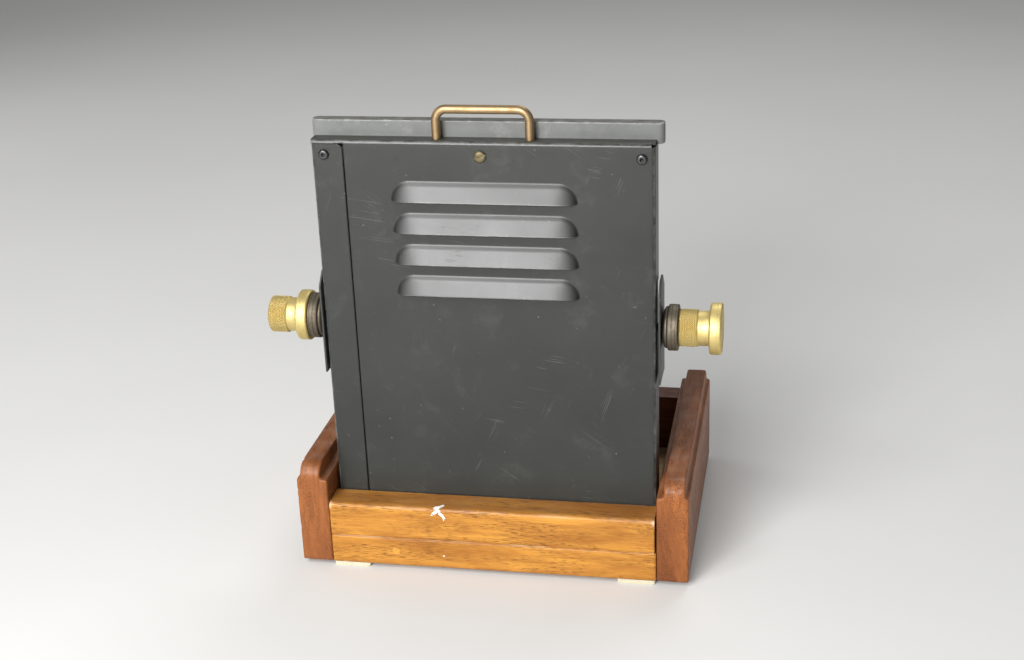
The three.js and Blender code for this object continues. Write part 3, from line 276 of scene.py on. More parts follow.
def timber(name, dark, light, axis, lean=0, worn=(0.62, 0.45, 0.34), dusty=0.12, figure=0.8,
           upright=1.0, wear_and_highlight=0.25, wear_and_highlight_above=0.0):
    """Varnished open-grained timber. axis is the way its fibres run, and lean how far the board is
    tipped about Y; upright below 1 stretches the rings in Z; the last two arguments give how pale the
    arrises are made above a given height, partly as wear and partly as a painted highlight."""
    f = Finish(name, Coat_Weight=0.18, Coat_Roughness=0.32, Specular_IOR_Level=0.22)

    def fibres(along, across, detail, rough=0.55, warp=0.0, stretch=upright):
        scale = [across, across, across * stretch]
        scale["XYZ".index(axis)] = along
        return f.noise(tuple(scale), detail, rough, warp, (0, lean, 0))

    ring = fibres(14, 240, 5, 0.65, 0.4)
    fine = upright ** 0.5
    fibre = fibres(60, 1500, 3, 0.6, stretch=fine)
    pores = f.times(f.level(fibres(110, 1500, 1, stretch=fine), 0.56, 0.64),
                    f.level(fibres(12, 90, 3), 0.40, 0.56))
    deep = shade(dark, 0.55)
    f.start(fibres(9, 46, 5, 0.6, 0.8), 0.36, 0.66, dark, light)
    f.over(dark, f.level(ring, 0.42, 0.72, 0, figure))
    f.over(deep, f.level(fibres(22, 60, 4, 0.6, 1.2), 0.58, 0.72, 0, 0.5))
    f.over(shade(light, 1.1), f.level(fibre, 0.35, 0.65, 0.0, 0.35))
    f.over(shade(dark, 0.3), f.times(pores, 0.75))
    # pale worn arrises; on the front rail's top arris the paleness is also a painted highlight
    high_up = f.level(f.along("Z"), wear_and_highlight_above - 6 * MM, wear_and_highlight_above, 0, wear_and_highlight)
    f.over(worn, f.level(f.times(f.rubbed(fibres(20, 120, 5, 0.65), 0.2, 0.55), high_up), 0.25, 0.85))
    # painted shade: level tops are darkened towards the deep tone
    f.over(deep, f.times(f.facing_up(), 0.45))
    level_top_patches = f.level_top_patches(f.noise(55, 6), 0.42, 0.68, dusty)
    f.over((0.42, 0.36, 0.3), level_top_patches)
    f.over(shade(light, 1.5), f.level(f.attribute("hollow"), 0.2, 0.9, 0, 0.8))
    gloss = f.plus(f.level(ring, 0.3, 0.7, 0.44, 0.56), f.times(level_top_patches, 0.3))
    height = f.math("SUBTRACT", f.times(fibre, 0.05), f.times(pores, 0.12))
    return f.finish(gloss, f.bump(height))


def metal(name, color, tarnish, roughness=0.3, spread=0.5, lathed=False, darkening=(0.03, 0.022, 0.01)):
    """Bare metal. A lathe leaves fine rings round X."""
    f = Finish(name, Metallic=1.0)
    cloud = f.noise(120, 6, 0.65)
    fine = f.noise(1500, 2)
    f.tone = f.mix(f.level(cloud, 0.35, 0.75, 0, spread), color, tarnish)
    f.over(tarnish, f.level(fine, 0.5, 0.8, 0, 0.3))
    f.over(shade(color, 1.25), f.level(f.attribute("edge"), 0.2, 1.0, 0, 0.5))
    f.over(darkening, f.level(f.attribute("hollow"), 0.15, 1.0, 0, 0.9))
    gloss = f.level(cloud, 0.3, 0.75, roughness - 0.06, roughness + 0.14)
    marks = f.noise((9000, 60, 60) if lathed else (400, 400, 1600), 2)
    return f.finish(gloss, f.bump(marks, 0.05 * MM, 0.6))


def moulded(name, color, roughness=0.5):
    f = Finish(name)
    fine = f.noise(1400, 3)
    cloud = f.noise(40)
    f.start(cloud, 0.35, 0.7, shade(color, 0.8), shade(color, 1.2))
    f.over((0.3, 0.28, 0.25), f.level_top_patches(cloud, 0.4, 0.65, 0.35))
    return f.finish(f.level(fine, 0.3, 0.7, roughness - 0.08, roughness + 0.1), f.bump(fine, 0.15 * MM))


def hammered(name, color):
    f = Finish(name, Specular_IOR_Level=0.6)
    dimple = f.cells(420, "SMOOTH_F1")
    cloud = f.noise(30, 5)
    f.start(dimple, 0.1, 0.6, shade(color, 1.6), shade(color, 0.6))
    f.over((0.2, 0.18, 0.15), f.level_top_patches(cloud, 0.4, 0.65, 0.5))
    f.over((0.35, 0.36, 0.37), f.level(f.rubbed(f.noise(200), 0.4, 0.6), 0.3, 0.9, 0, 0.6))
    return f.finish(f.level(cloud, 0.3, 0.7, 0.3, 0.42), f.bump(f.math("POWER", dimple, 0.7), 0.5 * MM))


def leathercloth(name, color):
    f = Finish(name, Specular_IOR_Level=0.35)
    grain = f.cells(1100)
    cloud = f.noise(45, 5)
    f.start(grain, 0.1, 0.7, shade(color, 1.5), shade(color, 0.6))
    f.over((0.16, 0.14, 0.12), f.level(f.rubbed(f.noise(180, 5), 0.35, 0.62), 0.3, 0.95, 0, 0.55))
    f.over((0.2, 0.18, 0.16), f.level_top_patches(cloud, 0.42, 0.65, 0.35))
    return f.finish(f.level(cloud, 0.3, 0.7, 0.5, 0.68), f.bump(grain, 0.3 * MM))


def felt(name, color):
    f = Finish(name, Sheen_Weight=0.35, Sheen_Roughness=0.5, Specular_IOR_Level=0.1)
    fibre = f.noise((900, 900, 2600), 5, 0.7, 1.2)
    f.start(fibre, 0.3, 0.7, shade(color, 0.82), shade(color, 1.08))
    f.over((0.62, 0.52, 0.3), f.level(f.noise(120, 5), 0.52, 0.75, 0, 0.5))
    return f.finish(f.level(fibre, 0.3, 0.7, 0.85, 1.0), f.bump(fibre, 0.4 * MM))


def plywood(name):
    """A rotary-cut face, with the plies showing as bands on its edges."""
    f = Finish(name, Specular_IOR_Level=0.2)
    fine = f.noise((40, 1500, 1500), 3)
    f.start(f.noise((9, 130, 20), 6, 0.6, 0.3), 0.3, 0.7, (0.36, 0.23, 0.11), (0.56, 0.4, 0.22))
    f.over((0.3, 0.18, 0.08), f.level(fine, 0.4, 0.7, 0, 0.4))
    ply = f.math("FRACT", f.times(f.along("Z"), 1 / (3.4 * MM)))
    wall = f.math("SUBTRACT", 1.0, f.facing_up())
    f.over((0.2, 0.11, 0.05), f.times(f.level(ply, 0.48, 0.52), wall, 0.5))
    f.over((0.33, 0.28, 0.22), f.level(f.noise(25, 5), 0.55, 0.75, 0, 0.45))
    return f.finish(f.level(fine, 0.3, 0.7, 0.68, 0.82), f.bump(fine, 0.2 * MM))


def glass(name, color, roughness=0.03, opal=0.0):
    f = Finish(name, Transmission_Weight=1.0 - opal, IOR=1.5)
    smear = f.noise(60)
    f.tone = f.mix(f.level(smear, 0.4, 0.75, 0, 0.25), color, shade(color, 0.9))
    return f.finish(f.level(smear, 0.4, 0.7, roughness, roughness + 0.06))


def tube_glass(name):
    """White phosphor tube with metal caps at its two ends."""
    f = Finish(name, Specular_IOR_Level=0.6)
    reach = f.math("ABSOLUTE", f.along("X"))
    cap_start = span("lamp_tube_1", "X")[1] - 12 * MM
    cap = f.level(reach, cap_start, cap_start + 0.3 * MM)
    f.tone = f.mix(f.noise(80), (0.84, 0.84, 0.8), (0.92, 0.92, 0.9))
    f.over((0.4, 0.36, 0.3), f.level(reach, cap_start - 18 * MM, cap_start, 0, 0.5))
    f.over((0.6, 0.6, 0.6), cap)
    f.put(f.shader.inputs["Metallic"], cap)
    return f.finish(f.level(cap, 0, 1, 0.25, 0.4))


def two_tone(name, specular, pattern, low, high, one, other, roughness, polish=None):
    """A plain material; polish is the scale of the noise that its roughness follows."""
    f = Finish(name, Specular_IOR_Level=specular)
    f.start(f.noise(*pattern), low, high, one, other)
    if polish:
        roughness = f.level(f.noise(polish), 0.3, 0.7, roughness - 0.1, roughness + 0.1)
    return f.finish(roughness)


# The frame's own materials already have some of these names, so Blender adds a number.
finishes = {made.name.split(".")[0]: made for made in (
    timber("side_timber", (0.13, 0.038, 0.010), (0.37, 0.125, 0.033), "Y", 0, (0.62, 0.36, 0.24),
           figure=0.75, upright=0.22),
    timber("leaning_timber", (0.12, 0.034, 0.009), (0.36, 0.120, 0.030), "Y", -7, (0.62, 0.36, 0.24),
           figure=0.75, upright=0.22),
    timber("front_timber", (0.27, 0.092, 0.013), (0.60, 0.275, 0.042), "X", 0, (0.90, 0.62, 0.40), 0.05,
           wear_and_highlight=0.8, wear_and_highlight_above=62 * MM),
    timber("rear_timber", (0.09, 0.022, 0.010), (0.20, 0.055, 0.022), "X"),
    plywood("plywood"),
    felt("felt", (0.66, 0.60, 0.44)),
    enamel("cover_paint", (0.021, 0.0225, 0.020), (0.22, 0.225, 0.21), 0.37, scuff=0.10, bare=0.35),
    enamel("chassis_paint", (0.026, 0.027, 0.026), (0.16, 0.16, 0.15), 0.42, scuff=0.1),
    enamel("black_paint", (0.050, 0.052, 0.049), (0.30, 0.31, 0.29), 0.42, 0.6, 0.15, 0.06),
    enamel("rubbed_bar_paint", (0.138, 0.142, 0.134), (0.42, 0.42, 0.39), 0.46, 0.95, 0.35, 0.14, 0.5),
    enamel("plate_paint", (0.034, 0.036, 0.033), (0.30, 0.30, 0.28), 0.42, scuff=0.15),
    enamel("black_aluminium", (0.022, 0.022, 0.024), (0.4, 0.4, 0.4), 0.34, 0.3, 0.2),
    enamel("ballast_case", (0.2, 0.21, 0.22), (0.5, 0.5, 0.5), 0.4),
    enamel("lens_black", (0.016, 0.016, 0.018), (0.5, 0.42, 0.25), 0.28, 0.2, 0.1, 0.0),
    metal("black_steel", (0.10, 0.10, 0.105), (0.04, 0.038, 0.036), 0.34, darkening=(0.01, 0.01, 0.01)),
    metal("steel", (0.58, 0.58, 0.57), (0.36, 0.33, 0.29), 0.32, darkening=(0.1, 0.08, 0.06)),
    metal("aged_brass", (0.40, 0.285, 0.16), (0.23, 0.135, 0.06), 0.46, 0.6),
    metal("tarnished_brass", (0.20, 0.168, 0.10), (0.11, 0.09, 0.05), 0.5, 0.9),
    metal("knob_brass", (0.70, 0.57, 0.25), (0.50, 0.38, 0.135), 0.52, 0.45, True, (0.28, 0.20, 0.07)),
    metal("grey_spacer", (0.175, 0.150, 0.112), (0.110, 0.092, 0.067), 0.58, 0.8, True),
    tube_glass("lamp_glass"),
    glass("opal_glass", (0.9, 0.9, 0.88), 0.25, 0.75),
    glass("clear_glass", (0.93, 0.97, 0.95)),
    moulded("lamp_holder", (0.66, 0.62, 0.52)),
    moulded("terminal_plastic", (0.6, 0.55, 0.4)),
    moulded("black_plastic", (0.022, 0.022, 0.022), 0.42),
    leathercloth("bellows_cloth", (0.026, 0.022, 0.019)),
    hammered("cast_grey", (0.075, 0.082, 0.085)),
    two_tone("dried_glue", 0.3, (40, 5), 0.46, 0.6, (0.50, 0.24, 0.07), (0.62, 0.44, 0.26), 0.6, 300),
    two_tone("white_paint", 0.4, (500, 3), 0.4, 0.7, (0.9, 0.88, 0.84), (0.72, 0.66, 0.58), 0.5, 700),
    two_tone("varnish", 0.4, (500, 3), 0.4, 0.7, (0.60, 0.29, 0.05), (0.48, 0.22, 0.04), 0.4, 700),
    two_tone("floor_paper", 0.15, (1.2, 3), 0.3, 0.7, (0.62, 0.615, 0.60), (0.66, 0.655, 0.64), 0.75))}

# ---- mesh helpers

SHARP = 32                           # degrees between faces from which an edge stays sharp


def wavy(*place):
    return noise.noise(Vector(place))


def mark(mesh, key, values):
    """A number on each point, for the material to read."""
    layer = mesh.attributes.new(key, "FLOAT", "POINT")
    layer.data.foreach_set("value", np.asarray(values, np.float32).ravel())


def mesh_object(name, points, faces, **marks):
    mesh = bpy.data.meshes.new(name)
    mesh.from_pydata([tuple(p) for p in points], [], faces)
    for key, values in marks.items():
        mark(mesh, key, values)
    return linked(name, mesh)


def smooth(mesh, sharp=SHARP):
    mesh.shade_smooth()
    mesh.set_sharp_from_angle(angle=math.radians(sharp))


def cleaned(obj, weld=1e-6, outward=True, sharp=SHARP):
    bm = bmesh.new()
    bm.from_mesh(obj.data)
    bmesh.ops.remove_doubles(bm, verts=bm.verts, dist=weld)
    bmesh.ops.dissolve_degenerate(bm, edges=bm.edges, dist=weld)
    if outward:
        bmesh.ops.recalc_face_normals(bm, faces=bm.faces)
    bm.to_mesh(obj.data)
    bm.free()
    smooth(obj.data, sharp)
    return obj


def from_bmesh(name, bm):
    mesh = bpy.data.meshes.new(name)
    bm.to_mesh(mesh)
    bm.free()
    return linked(name, mesh)


def ring(centre, u, v, radius, count):
    """count points round a centre, in the plane of u and v."""
    angles = [TURN * k / count for k in range(count)]
    return [centre + (u * math.cos(a) + v * math.sin(a)) * radius for a in angles]


def bridge(bm, rings):
    """Closes the first ring of vertices with a face and joins each ring to the next."""
    for a, b in zip(rings, rings[1:]):
        for k in range(len(a)):
            m = (k + 1) % len(a)
            bm.faces.new((a[k], a[m], b[m], b[k]))
    bm.faces.new(rings[0][::-1])


def quads(rows, columns, round_rows=False, round_columns=False, keep=None):
    """Faces between neighbouring points of a grid, which may close on itself either way."""
    faces = []
    for i in range(rows if round_rows else rows - 1):
        for j in range(columns if round_columns else columns - 1):
            if keep is None or keep(i, j):
                k, m = (i + 1) % rows, (j + 1) % columns
                faces.append((i * columns + j, k * columns + j, k * columns + m, i * columns + m))
    return faces


def dressed(obj, slot, *nodes, finish=None):
    """finish names a material of the piece's own, where it differs from the rest of its slot."""
    obj.data.materials.clear()
    obj.data.materials.append(finishes[finish or slot])
    if nodes:
        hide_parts(*nodes)


def piece(obj, body, slot, *nodes, finish=None):
    dressed(obj, slot, *nodes, finish=finish)
    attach(obj, body)


def modified(obj, kind, **settings):
    """Adds one modifier and applies it."""
    modifier = obj.modifiers.new(kind, kind)
    for key, value in settings.items():
        setattr(modifier, key, value)
    bpy.context.view_layer.update()
    evaluated = obj.evaluated_get(bpy.context.evaluated_depsgraph_get())
    mesh = bpy.data.meshes.new_from_object(evaluated)
    obj.modifiers.clear()
    obj.data = mesh


def lathe(name, profile, axis, centre, segments=96, sign=1, relief=None, closed=False):
    """Turns [distance along the axis, radius] pairs. relief adds to the radius at (distance, angle)."""
    profile = np.asarray(profile, float)
    along = np.repeat(profile[:, 0], segments)
    angle = np.tile(np.linspace(0, TURN, segments, endpoint=False), len(profile))
    radius = np.repeat(profile[:, 1], segments)
    marks = np.zeros_like(radius)
    if relief:
        change = relief(along, angle)
        marks = np.clip(-change / max(1e-9, -change.min()), 0, 1)
        radius = radius + change
    side = {"X": (1, 2, 0), "Y": (2, 0, 1)}[axis]
    points = np.zeros((len(radius), 3))
    points[:, side[0]] = centre[side[0]] + radius * np.cos(angle)
    points[:, side[1]] = centre[side[1]] + radius * np.sin(angle)
    points[:, side[2]] = sign * along
    return cleaned(mesh_object(name, points, quads(len(profile), segments, closed, True), hollow=marks))


def dense(profile, step):
    """The same outline with a point at least every step, so that relief has something to move."""
    out = [tuple(profile[0])]
    for a, b in zip(profile, profile[1:]):
        count = max(1, math.ceil(math.hypot(b[0] - a[0], b[1] - a[1]) / step))
        out += [(a[0] + (b[0] - a[0]) * i / count, a[1] + (b[1] - a[1]) * i / count)
                for i in range(1, count + 1)]
    return out


def band(outline, radius, first, last):
    """A mask for relief: the outline's points beyond a radius, between two distances."""
    outside = np.array([r for _, r in outline]) > radius

    def mask(along, angle):
        return (along > first) & (along < last) & np.repeat(outside, len(angle) // len(outline))

    return mask


def flutes(inside, depth, count, power):
    """Grooves along a lathed grip."""
    return lambda along, angle: (-depth * (0.5 + 0.5 * np.cos(angle * count)) ** power
                                 * inside(along, angle))


def copy_of(node, name):
    return linked(name, frame["nodes"][node].data.copy())


def refined(node, bevel, body="base", segments=2, angle=28, finish=None):
    """The CAD shape with its flat faces made whole, real rounded edges and smooth curves."""
    obj = copy_of(node, node + "_finished")
    bm = bmesh.new()
    bm.from_mesh(obj.data)
    bmesh.ops.remove_doubles(bm, verts=bm.verts, dist=1e-6)
    bmesh.ops.dissolve_limit(bm, angle_limit=math.radians(0.6), verts=bm.verts, edges=bm.edges)
    bm.to_mesh(obj.data)
    bm.free()
    modified(obj, "BEVEL", width=bevel * MM, segments=segments, limit_method="ANGLE",
             angle_limit=math.radians(angle))
    smooth(obj.data, angle + 6)
    slots = {row["node"]: row["material_slot"] for row in frame["record"]["subparts"]}
    piece(obj, body, slots[node], node, finish=finish)


def column(items, key, width=3, kind=float):
    values = np.zeros(len(items) * width, kind)
    items.foreach_get(key, values)
    return values.reshape(-1, width)


def neighbour_mean(values, edges):
    a, b = edges.T
    count = len(values)
    total = np.stack([np.bincount(a, v[b], count) + np.bincount(b, v[a], count) for v in values.T], 1)
    return total / np.maximum(np.bincount(edges.ravel(), minlength=count)[:, None], 1)


def weathered(node, voxel, body, slot, soften=2, chip=0.0, ripple=0.0, seed=0.0, finish=None):
    """The CAD shape remeshed finely, with rounded edges, chips along them and marks for the material."""
    obj = copy_of(node, node + "_worn")
    modified(obj, "REMESH", mode="VOXEL", voxel_size=voxel)
    mesh = obj.data
    co = column(mesh.vertices, "co")
    edges = column(mesh.edges, "vertices", 2, int)
    low, high = co.min(0), co.max(0)
    for _ in range(soften):
        co = co + 0.6 * (neighbour_mean(co, edges) - co)
    soft_low, soft_high = co.min(0), co.max(0)
    co = low + (co - soft_low) * (high - low) / (soft_high - soft_low)
    mesh.vertices.foreach_set("co", co.ravel())
    mesh.update()
    normals = column(mesh.vertices, "normal")
    bend = ((co - neighbour_mean(co, edges)) * normals).sum(1, keepdims=True) / voxel
    for _ in range(3):
        bend = 0.5 * bend + 0.5 * neighbour_mean(bend, edges)
    bend = np.clip(bend[:, 0] / 0.12, -1, 1)
    depth = np.zeros(len(co))
    places = co + np.array((seed, 1.7 * seed, -seed))
    if chip:
        for i in np.nonzero(bend > 0.25)[0]:
            rough = wavy(*places[i] * 260) * 0.6 + wavy(*places[i] * 70)
            depth[i] = max(0.0, rough - 0.42) * chip * min(1.0, bend[i] * 1.6)
    if ripple:
        depth += [ripple * wavy(*place * 140) for place in places]
    mesh.vertices.foreach_set("co", (co - normals * depth[:, None]).ravel())
    mark(mesh, "edge", np.clip(bend, 0, 1))
    mark(mesh, "hollow", np.clip(depth / max(chip, 1e-9), 0, 1) * bool(chip))
    mesh.update()
    mesh.shade_smooth()
    piece(obj, body, slot, node, finish=finish)


# ---- timber cradle

WOOD_VOXEL = 1.3 * MM
for node, slot, soften, chip, seed, own in (
        ("left_side_rail", "side_timber", 3, 2.0, 3.1, None),
        ("right_side_rail", "side_timber", 3, 2.0, 8.4, "leaning_timber"),
        ("front_rail_lower", "front_timber", 1, 0.8, 1.0, None),
        ("front_rail_upper", "front_timber", 1, 0.8, 5.0, None),
        ("rear_rail", "rear_timber", 3, 1.6, 6.0, None)):
    weathered(node, WOOD_VOXEL, "base", slot, soften, chip * MM, seed=seed, finish=own)
refined("floor_board", 0.6)


def glue_line():
    """A thin squeezed line of pale glue between the two front boards."""
    left, right = span("front_rail_lower", "X")
    front, back = span("front_rail_lower", "Y")
    z = (span("front_rail_lower", "Z")[1] + span("front_rail_upper", "Z")[0]) / 2
    stations = np.linspace(left + 1 * MM, right - 1.6 * MM, 240)
    points = []
    for x in stations:
        swell = 0.26 * MM * (0.9 + wavy(x * 90, 2, 5))
        proud = 0.08 * MM * wavy(x * 60, 9, 1) + 0.04 * MM
        points += [(x, back - 2 * MM, z - 0.1 * MM), (x, front + 0.5 * MM, z - swell), (x, front - proud, z),
                   (x, front + 0.5 * MM, z + swell), (x, back - 2 * MM, z + 0.1 * MM)]
    obj = mesh_object("front_glue_line", points, quads(len(stations), 5, False, True))
    piece(cleaned(obj), "base", "front_timber", finish="dried_glue")


def splash(name, blobs, finish, thickness):
    """Drops on the front rail. Each blob is its place across and down the board, its length and width,
    and how far it is turned; down the board runs over the top face, the rounded arris and the front."""
    rng = random.Random(7)
    front = span("front_rail_upper", "Y")[0]
    top = span("front_rail_upper", "Z")[1]
    arris = 4 * MM
    lift = 0.12 * MM
    count = 22
    bm = bmesh.new()

    def on_board(x, s):
        a = min(max(s / arris, 0), QUARTER)
        reach = arris + lift
        return (x, front + arris - reach * math.sin(a) - min(s, 0),
                top - arris + reach * math.cos(a) - max(s - arris * QUARTER, 0))

    for x, s, long, wide, turn in blobs:
        middle_point = bm.verts.new(on_board(x * MM, s * MM))
        rim = []
        c, d = math.cos(math.radians(turn)), math.sin(math.radians(turn))
        for i in range(count):
            a = TURN * i / count
            reach = 1 + 0.35 * rng.uniform(-1, 1) * min(1, 2.4 / wide)
            u, v = long * reach * math.cos(a), wide * reach * math.sin(a)
            rim.append(bm.verts.new(on_board((x + u * c - v * d) * MM, (s + u * d + v * c) * MM)))
        for a, b in zip(rim, rim[1:] + rim[:1]):
            bm.faces.new((middle_point, a, b))
    bmesh.ops.subdivide_edges(bm, edges=bm.edges, cuts=1, use_grid_fill=True)
    obj = from_bmesh(name, bm)
    modified(obj, "SOLIDIFY", thickness=thickness)
    piece(cleaned(obj, 1e-7), "base", "front_timber", finish=finish)


PAINT_SPLASH = [(-50, 1.0, 4.6, 2.2, 150), (-46.4, -1.6, 3.4, 1.7, 130), (-52.4, 6.6, 3.2, 1.3, -35),
                (-45.8, 8.2, 4.2, 1.5, 50), (-48.8, 4.6, 2.2, 1.2, 0), (-44, 12.4, 1.8, 0.7, 80),
                (-54.6, 8.6, 1.6, 0.8, -30), (-45.6, 52.3, 0.8, 0.6, 0)]
glue_line()
splash("white_paint_chip", PAINT_SPLASH, "white_paint", 0.1 * MM)
splash("varnish_drop", [(-92.4, 50, 4.2, 3.4, 60)], "varnish", 0.06 * MM)


FELT_FIBRES = 420


def felt_pad(node, seed):
    """Pressed felt: soft, slightly crushed edges with loose fibres along its sides."""
    low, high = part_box(node)
    obj = copy_of(node, node.replace("_felt_pad", "_felt"))
    modified(obj, "REMESH", mode="VOXEL", voxel_size=0.6 * MM)
    modified(obj, "SMOOTH", factor=0.5, iterations=3)
    mesh = obj.data
    for vertex in mesh.vertices:
        point = vertex.co
        wobble = 0.30 * MM * wavy(point.x * 900, point.y * 900, point.z * 900 + seed)
        wobble += 0.35 * MM * wavy(point.x * 160 + seed, point.y * 160, 0)
        vertex.co = point + vertex.normal * wobble
        vertex.co.z = min(max(vertex.co.z, low.z), high.z)
    rng = random.Random(int(seed * 10))
    up = Vector((0, 0, 1))
    thick = 0.035 * MM
    bm = bmesh.new()
    bm.from_mesh(mesh)
    for _ in range(FELT_FIBRES):
        edge = rng.randrange(4)
        t = rng.uniform(0.02, 0.98)
        x = (low.x + t * (high.x - low.x), high.x, low.x + t * (high.x - low.x), low.x)[edge]
        y = (low.y, low.y + t * (high.y - low.y), high.y, low.y + t * (high.y - low.y))[edge]
        out = Vector(((0, -1, 0), (1, 0, 0), (0, 1, 0), (-1, 0, 0))[edge])
        side = Vector((-out.y, out.x, 0))
        root = Vector((x, y, rng.uniform(low.z + 0.4 * MM, high.z - 0.3 * MM))) - out * 0.4 * MM
        reach = rng.uniform(0.5, 1.5) * MM
        drift = side * rng.uniform(-1, 1) * MM
        tip = root + out * reach + drift * 0.8 + up * rng.uniform(-0.3, 0.3) * MM
        tip.z = min(max(tip.z, low.z + 0.05 * MM), high.z)
        bend = root + out * reach * 0.6 + drift * 0.2
        strand = [[bm.verts.new(p) for p in ring(centre, side, up, width, 3)]
                  for centre, width in ((root, thick), (bend, thick), (tip, thick * 0.4))]
        bridge(bm, strand)
        bm.faces.new(strand[-1])
    bm.to_mesh(mesh)
    bm.free()
    mesh.shade_smooth()
    piece(obj, "base", "felt", node)


for index, corner in enumerate(("front_left", "front_right", "rear_left", "rear_right")):
    felt_pad(f"{corner}_felt_pad", 1.3 + 2.1 * index)

# ---- louvred cover

SHEET = 1.5 * MM
FOLD = 3.5 * MM
LOUVRES = 4
LOUVRE_X = 1.5 * MM
LOUVRE_HALF = 82.7 * MM
LOUVRE_END = 16 * MM
LOUVRE_SHOULDER = 30 * MM            # over which each end of a louvre sinks towards the sheet
LOUVRE_HEIGHT = 17.8 * MM
LOUVRE_DEPTH = 7.2 * MM
LOUVRE_TOP = 376.8 * MM
LOUVRE_PITCH = 29.3 * MM
FLANGE_BACK = 14.6 * MM              # behind the cover's face
SEAM_GAP = 0.9 * MM
ROLL = 0.6 * MM                      # how far the sheets' edges turn in at the seam
ROLL_WIDTH = 1.2 * MM
FINE, COARSE = 0.5 * MM, 5 * MM
lips = [LOUVRE_TOP - i * LOUVRE_PITCH - LOUVRE_HEIGHT for i in range(LOUVRES)]


def clamp(value):
    return max(0.0, min(1.0, value))


def steps(marks, size):
    """Stations from the first mark to the last, each stretch cut into pieces of about size(middle)."""
    out = [marks[0]]
    for a, b in zip(marks, marks[1:]):
        count = max(1, round(abs(b - a) / size((a + b) / 2)))
        out += [a + (b - a) * i / count for i in range(1, count)] + [b]
    return out


def louvre_depth(x, z, lip):
    """How far a stamped louvre stands out of the sheet, for an array of x at one height."""
    total = np.zeros_like(x)
    blur = np.linspace(-1, 1, 5) * 0.8 * MM
    for dx in blur:
        for dz in blur:
            up = max(0.0, z + dz - lip) / LOUVRE_HEIGHT
            out = np.abs(x + dx - LOUVRE_X) - LOUVRE_HALF
            end = np.clip((out + LOUVRE_END) / LOUVRE_END, 0, 1)
            rise = np.clip(1 - up / np.maximum(0.01, np.sqrt(1 - end ** 2)), 0, 1)
            sunk = 0.2 * np.clip((out + LOUVRE_SHOULDER) / LOUVRE_SHOULDER, 0, 1) ** 2
            start = np.clip(rise / 0.25, 0, 1)
            profile = 0.12 * start ** 2 * (3 - 2 * start) + 0.88 * rise
            total += LOUVRE_DEPTH * (1 - sunk) * (1 - end ** 5) ** 0.4 * profile
    return total / blur.size ** 2


def buckle(x, z):
    """The sheet's slight waviness between its folds."""
    calm = clamp(min(COVER_RIGHT - abs(x), COVER_TOP - z) / (25 * MM))
    return 0.22 * MM * wavy(x * 14, 3.3, z * 11) * calm


def rolled(distance):
    """How far the sheet turns in, at a distance from the seam."""
    return ROLL * max(0.0, 1 - distance / ROLL_WIDTH) ** 2


def fold_profile(back):
    """[sideways, back] from the start of the bend to the free edge of a return or flange."""
    bend = [(FOLD * math.sin(a), FOLD * (1 - math.cos(a))) for a in np.linspace(0, QUARTER, 9)]
    return bend + [(FOLD, y) for y in np.linspace(FOLD, back, 12)[1:]]


def outside_notch(y, z):
    """False where the side returns are notched for the studs."""
    reach = 4.7 * MM
    return not (AXIS_Z - reach < z < AXIS_Z + 40 * MM + reach and y > CARRIER_Y - reach)


def worn_place(x, y, z):
    """Bare metal shows on the bends, along the louvres' lips and on the sheet's free edges."""
    back = (y - FACE_Y) / FOLD
    bent = z > COVER_TOP - FOLD or abs(x) > COVER_RIGHT - FOLD
    at_lip = back < -1 and any(abs(z - lip) < 0.7 * MM for lip in lips)
    return max(max(0.0, 1 - abs(back - 0.35) / 0.45) * bent, 0.6 * at_lip)


def painted_shade_place(x, y, z):
    """Painted shade: a painted shadow on the flat sheet just under each lip, and painted shade towards the
    louvres' ends.
    """
    out = abs(x - LOUVRE_X) - LOUVRE_HALF
    darkening = 0.0
    for up in (z - lip for lip in lips):
        if -4 * MM < up < 0.01 * MM and FACE_Y - 0.5 * MM < y < FACE_Y + 1 * MM:
            darkening = max(darkening, (1 + up / (4 * MM)) * clamp(-out / (6 * MM)))
        elif 0 < up < LOUVRE_HEIGHT and y < FACE_Y - 0.5 * MM:
            end = clamp((out + 24 * MM) / (22 * MM))
            darkening = max(darkening, 0.85 * end ** 1.6 * (1.15 - 0.6 * up / LOUVRE_HEIGHT))
    return min(1.0, darkening)


class Sheet:
    """Several grids gathered into one folded sheet; shared borders are welded at the end."""

    def __init__(self):
        self.points, self.faces = [], []

    def grid(self, rows, keep=None):
        base = len(self.points)
        self.points += [p for row in rows for p in row]
        for face in quads(len(rows), len(rows[0]), keep=keep):
            self.faces.append(tuple(base + i for i in face[::-1]))

    def finish(self, name, node):
        obj = mesh_object(name, self.points, self.faces, edge=[worn_place(*p) for p in self.points],
                          hollow=[painted_shade_place(*p) for p in self.points])
        cleaned(obj, 2e-6, outward=False)
        modified(obj, "SOLIDIFY", thickness=SHEET, offset=-1)
        smooth(obj.data, 40)
        piece(obj, "base", "cover_paint", node)


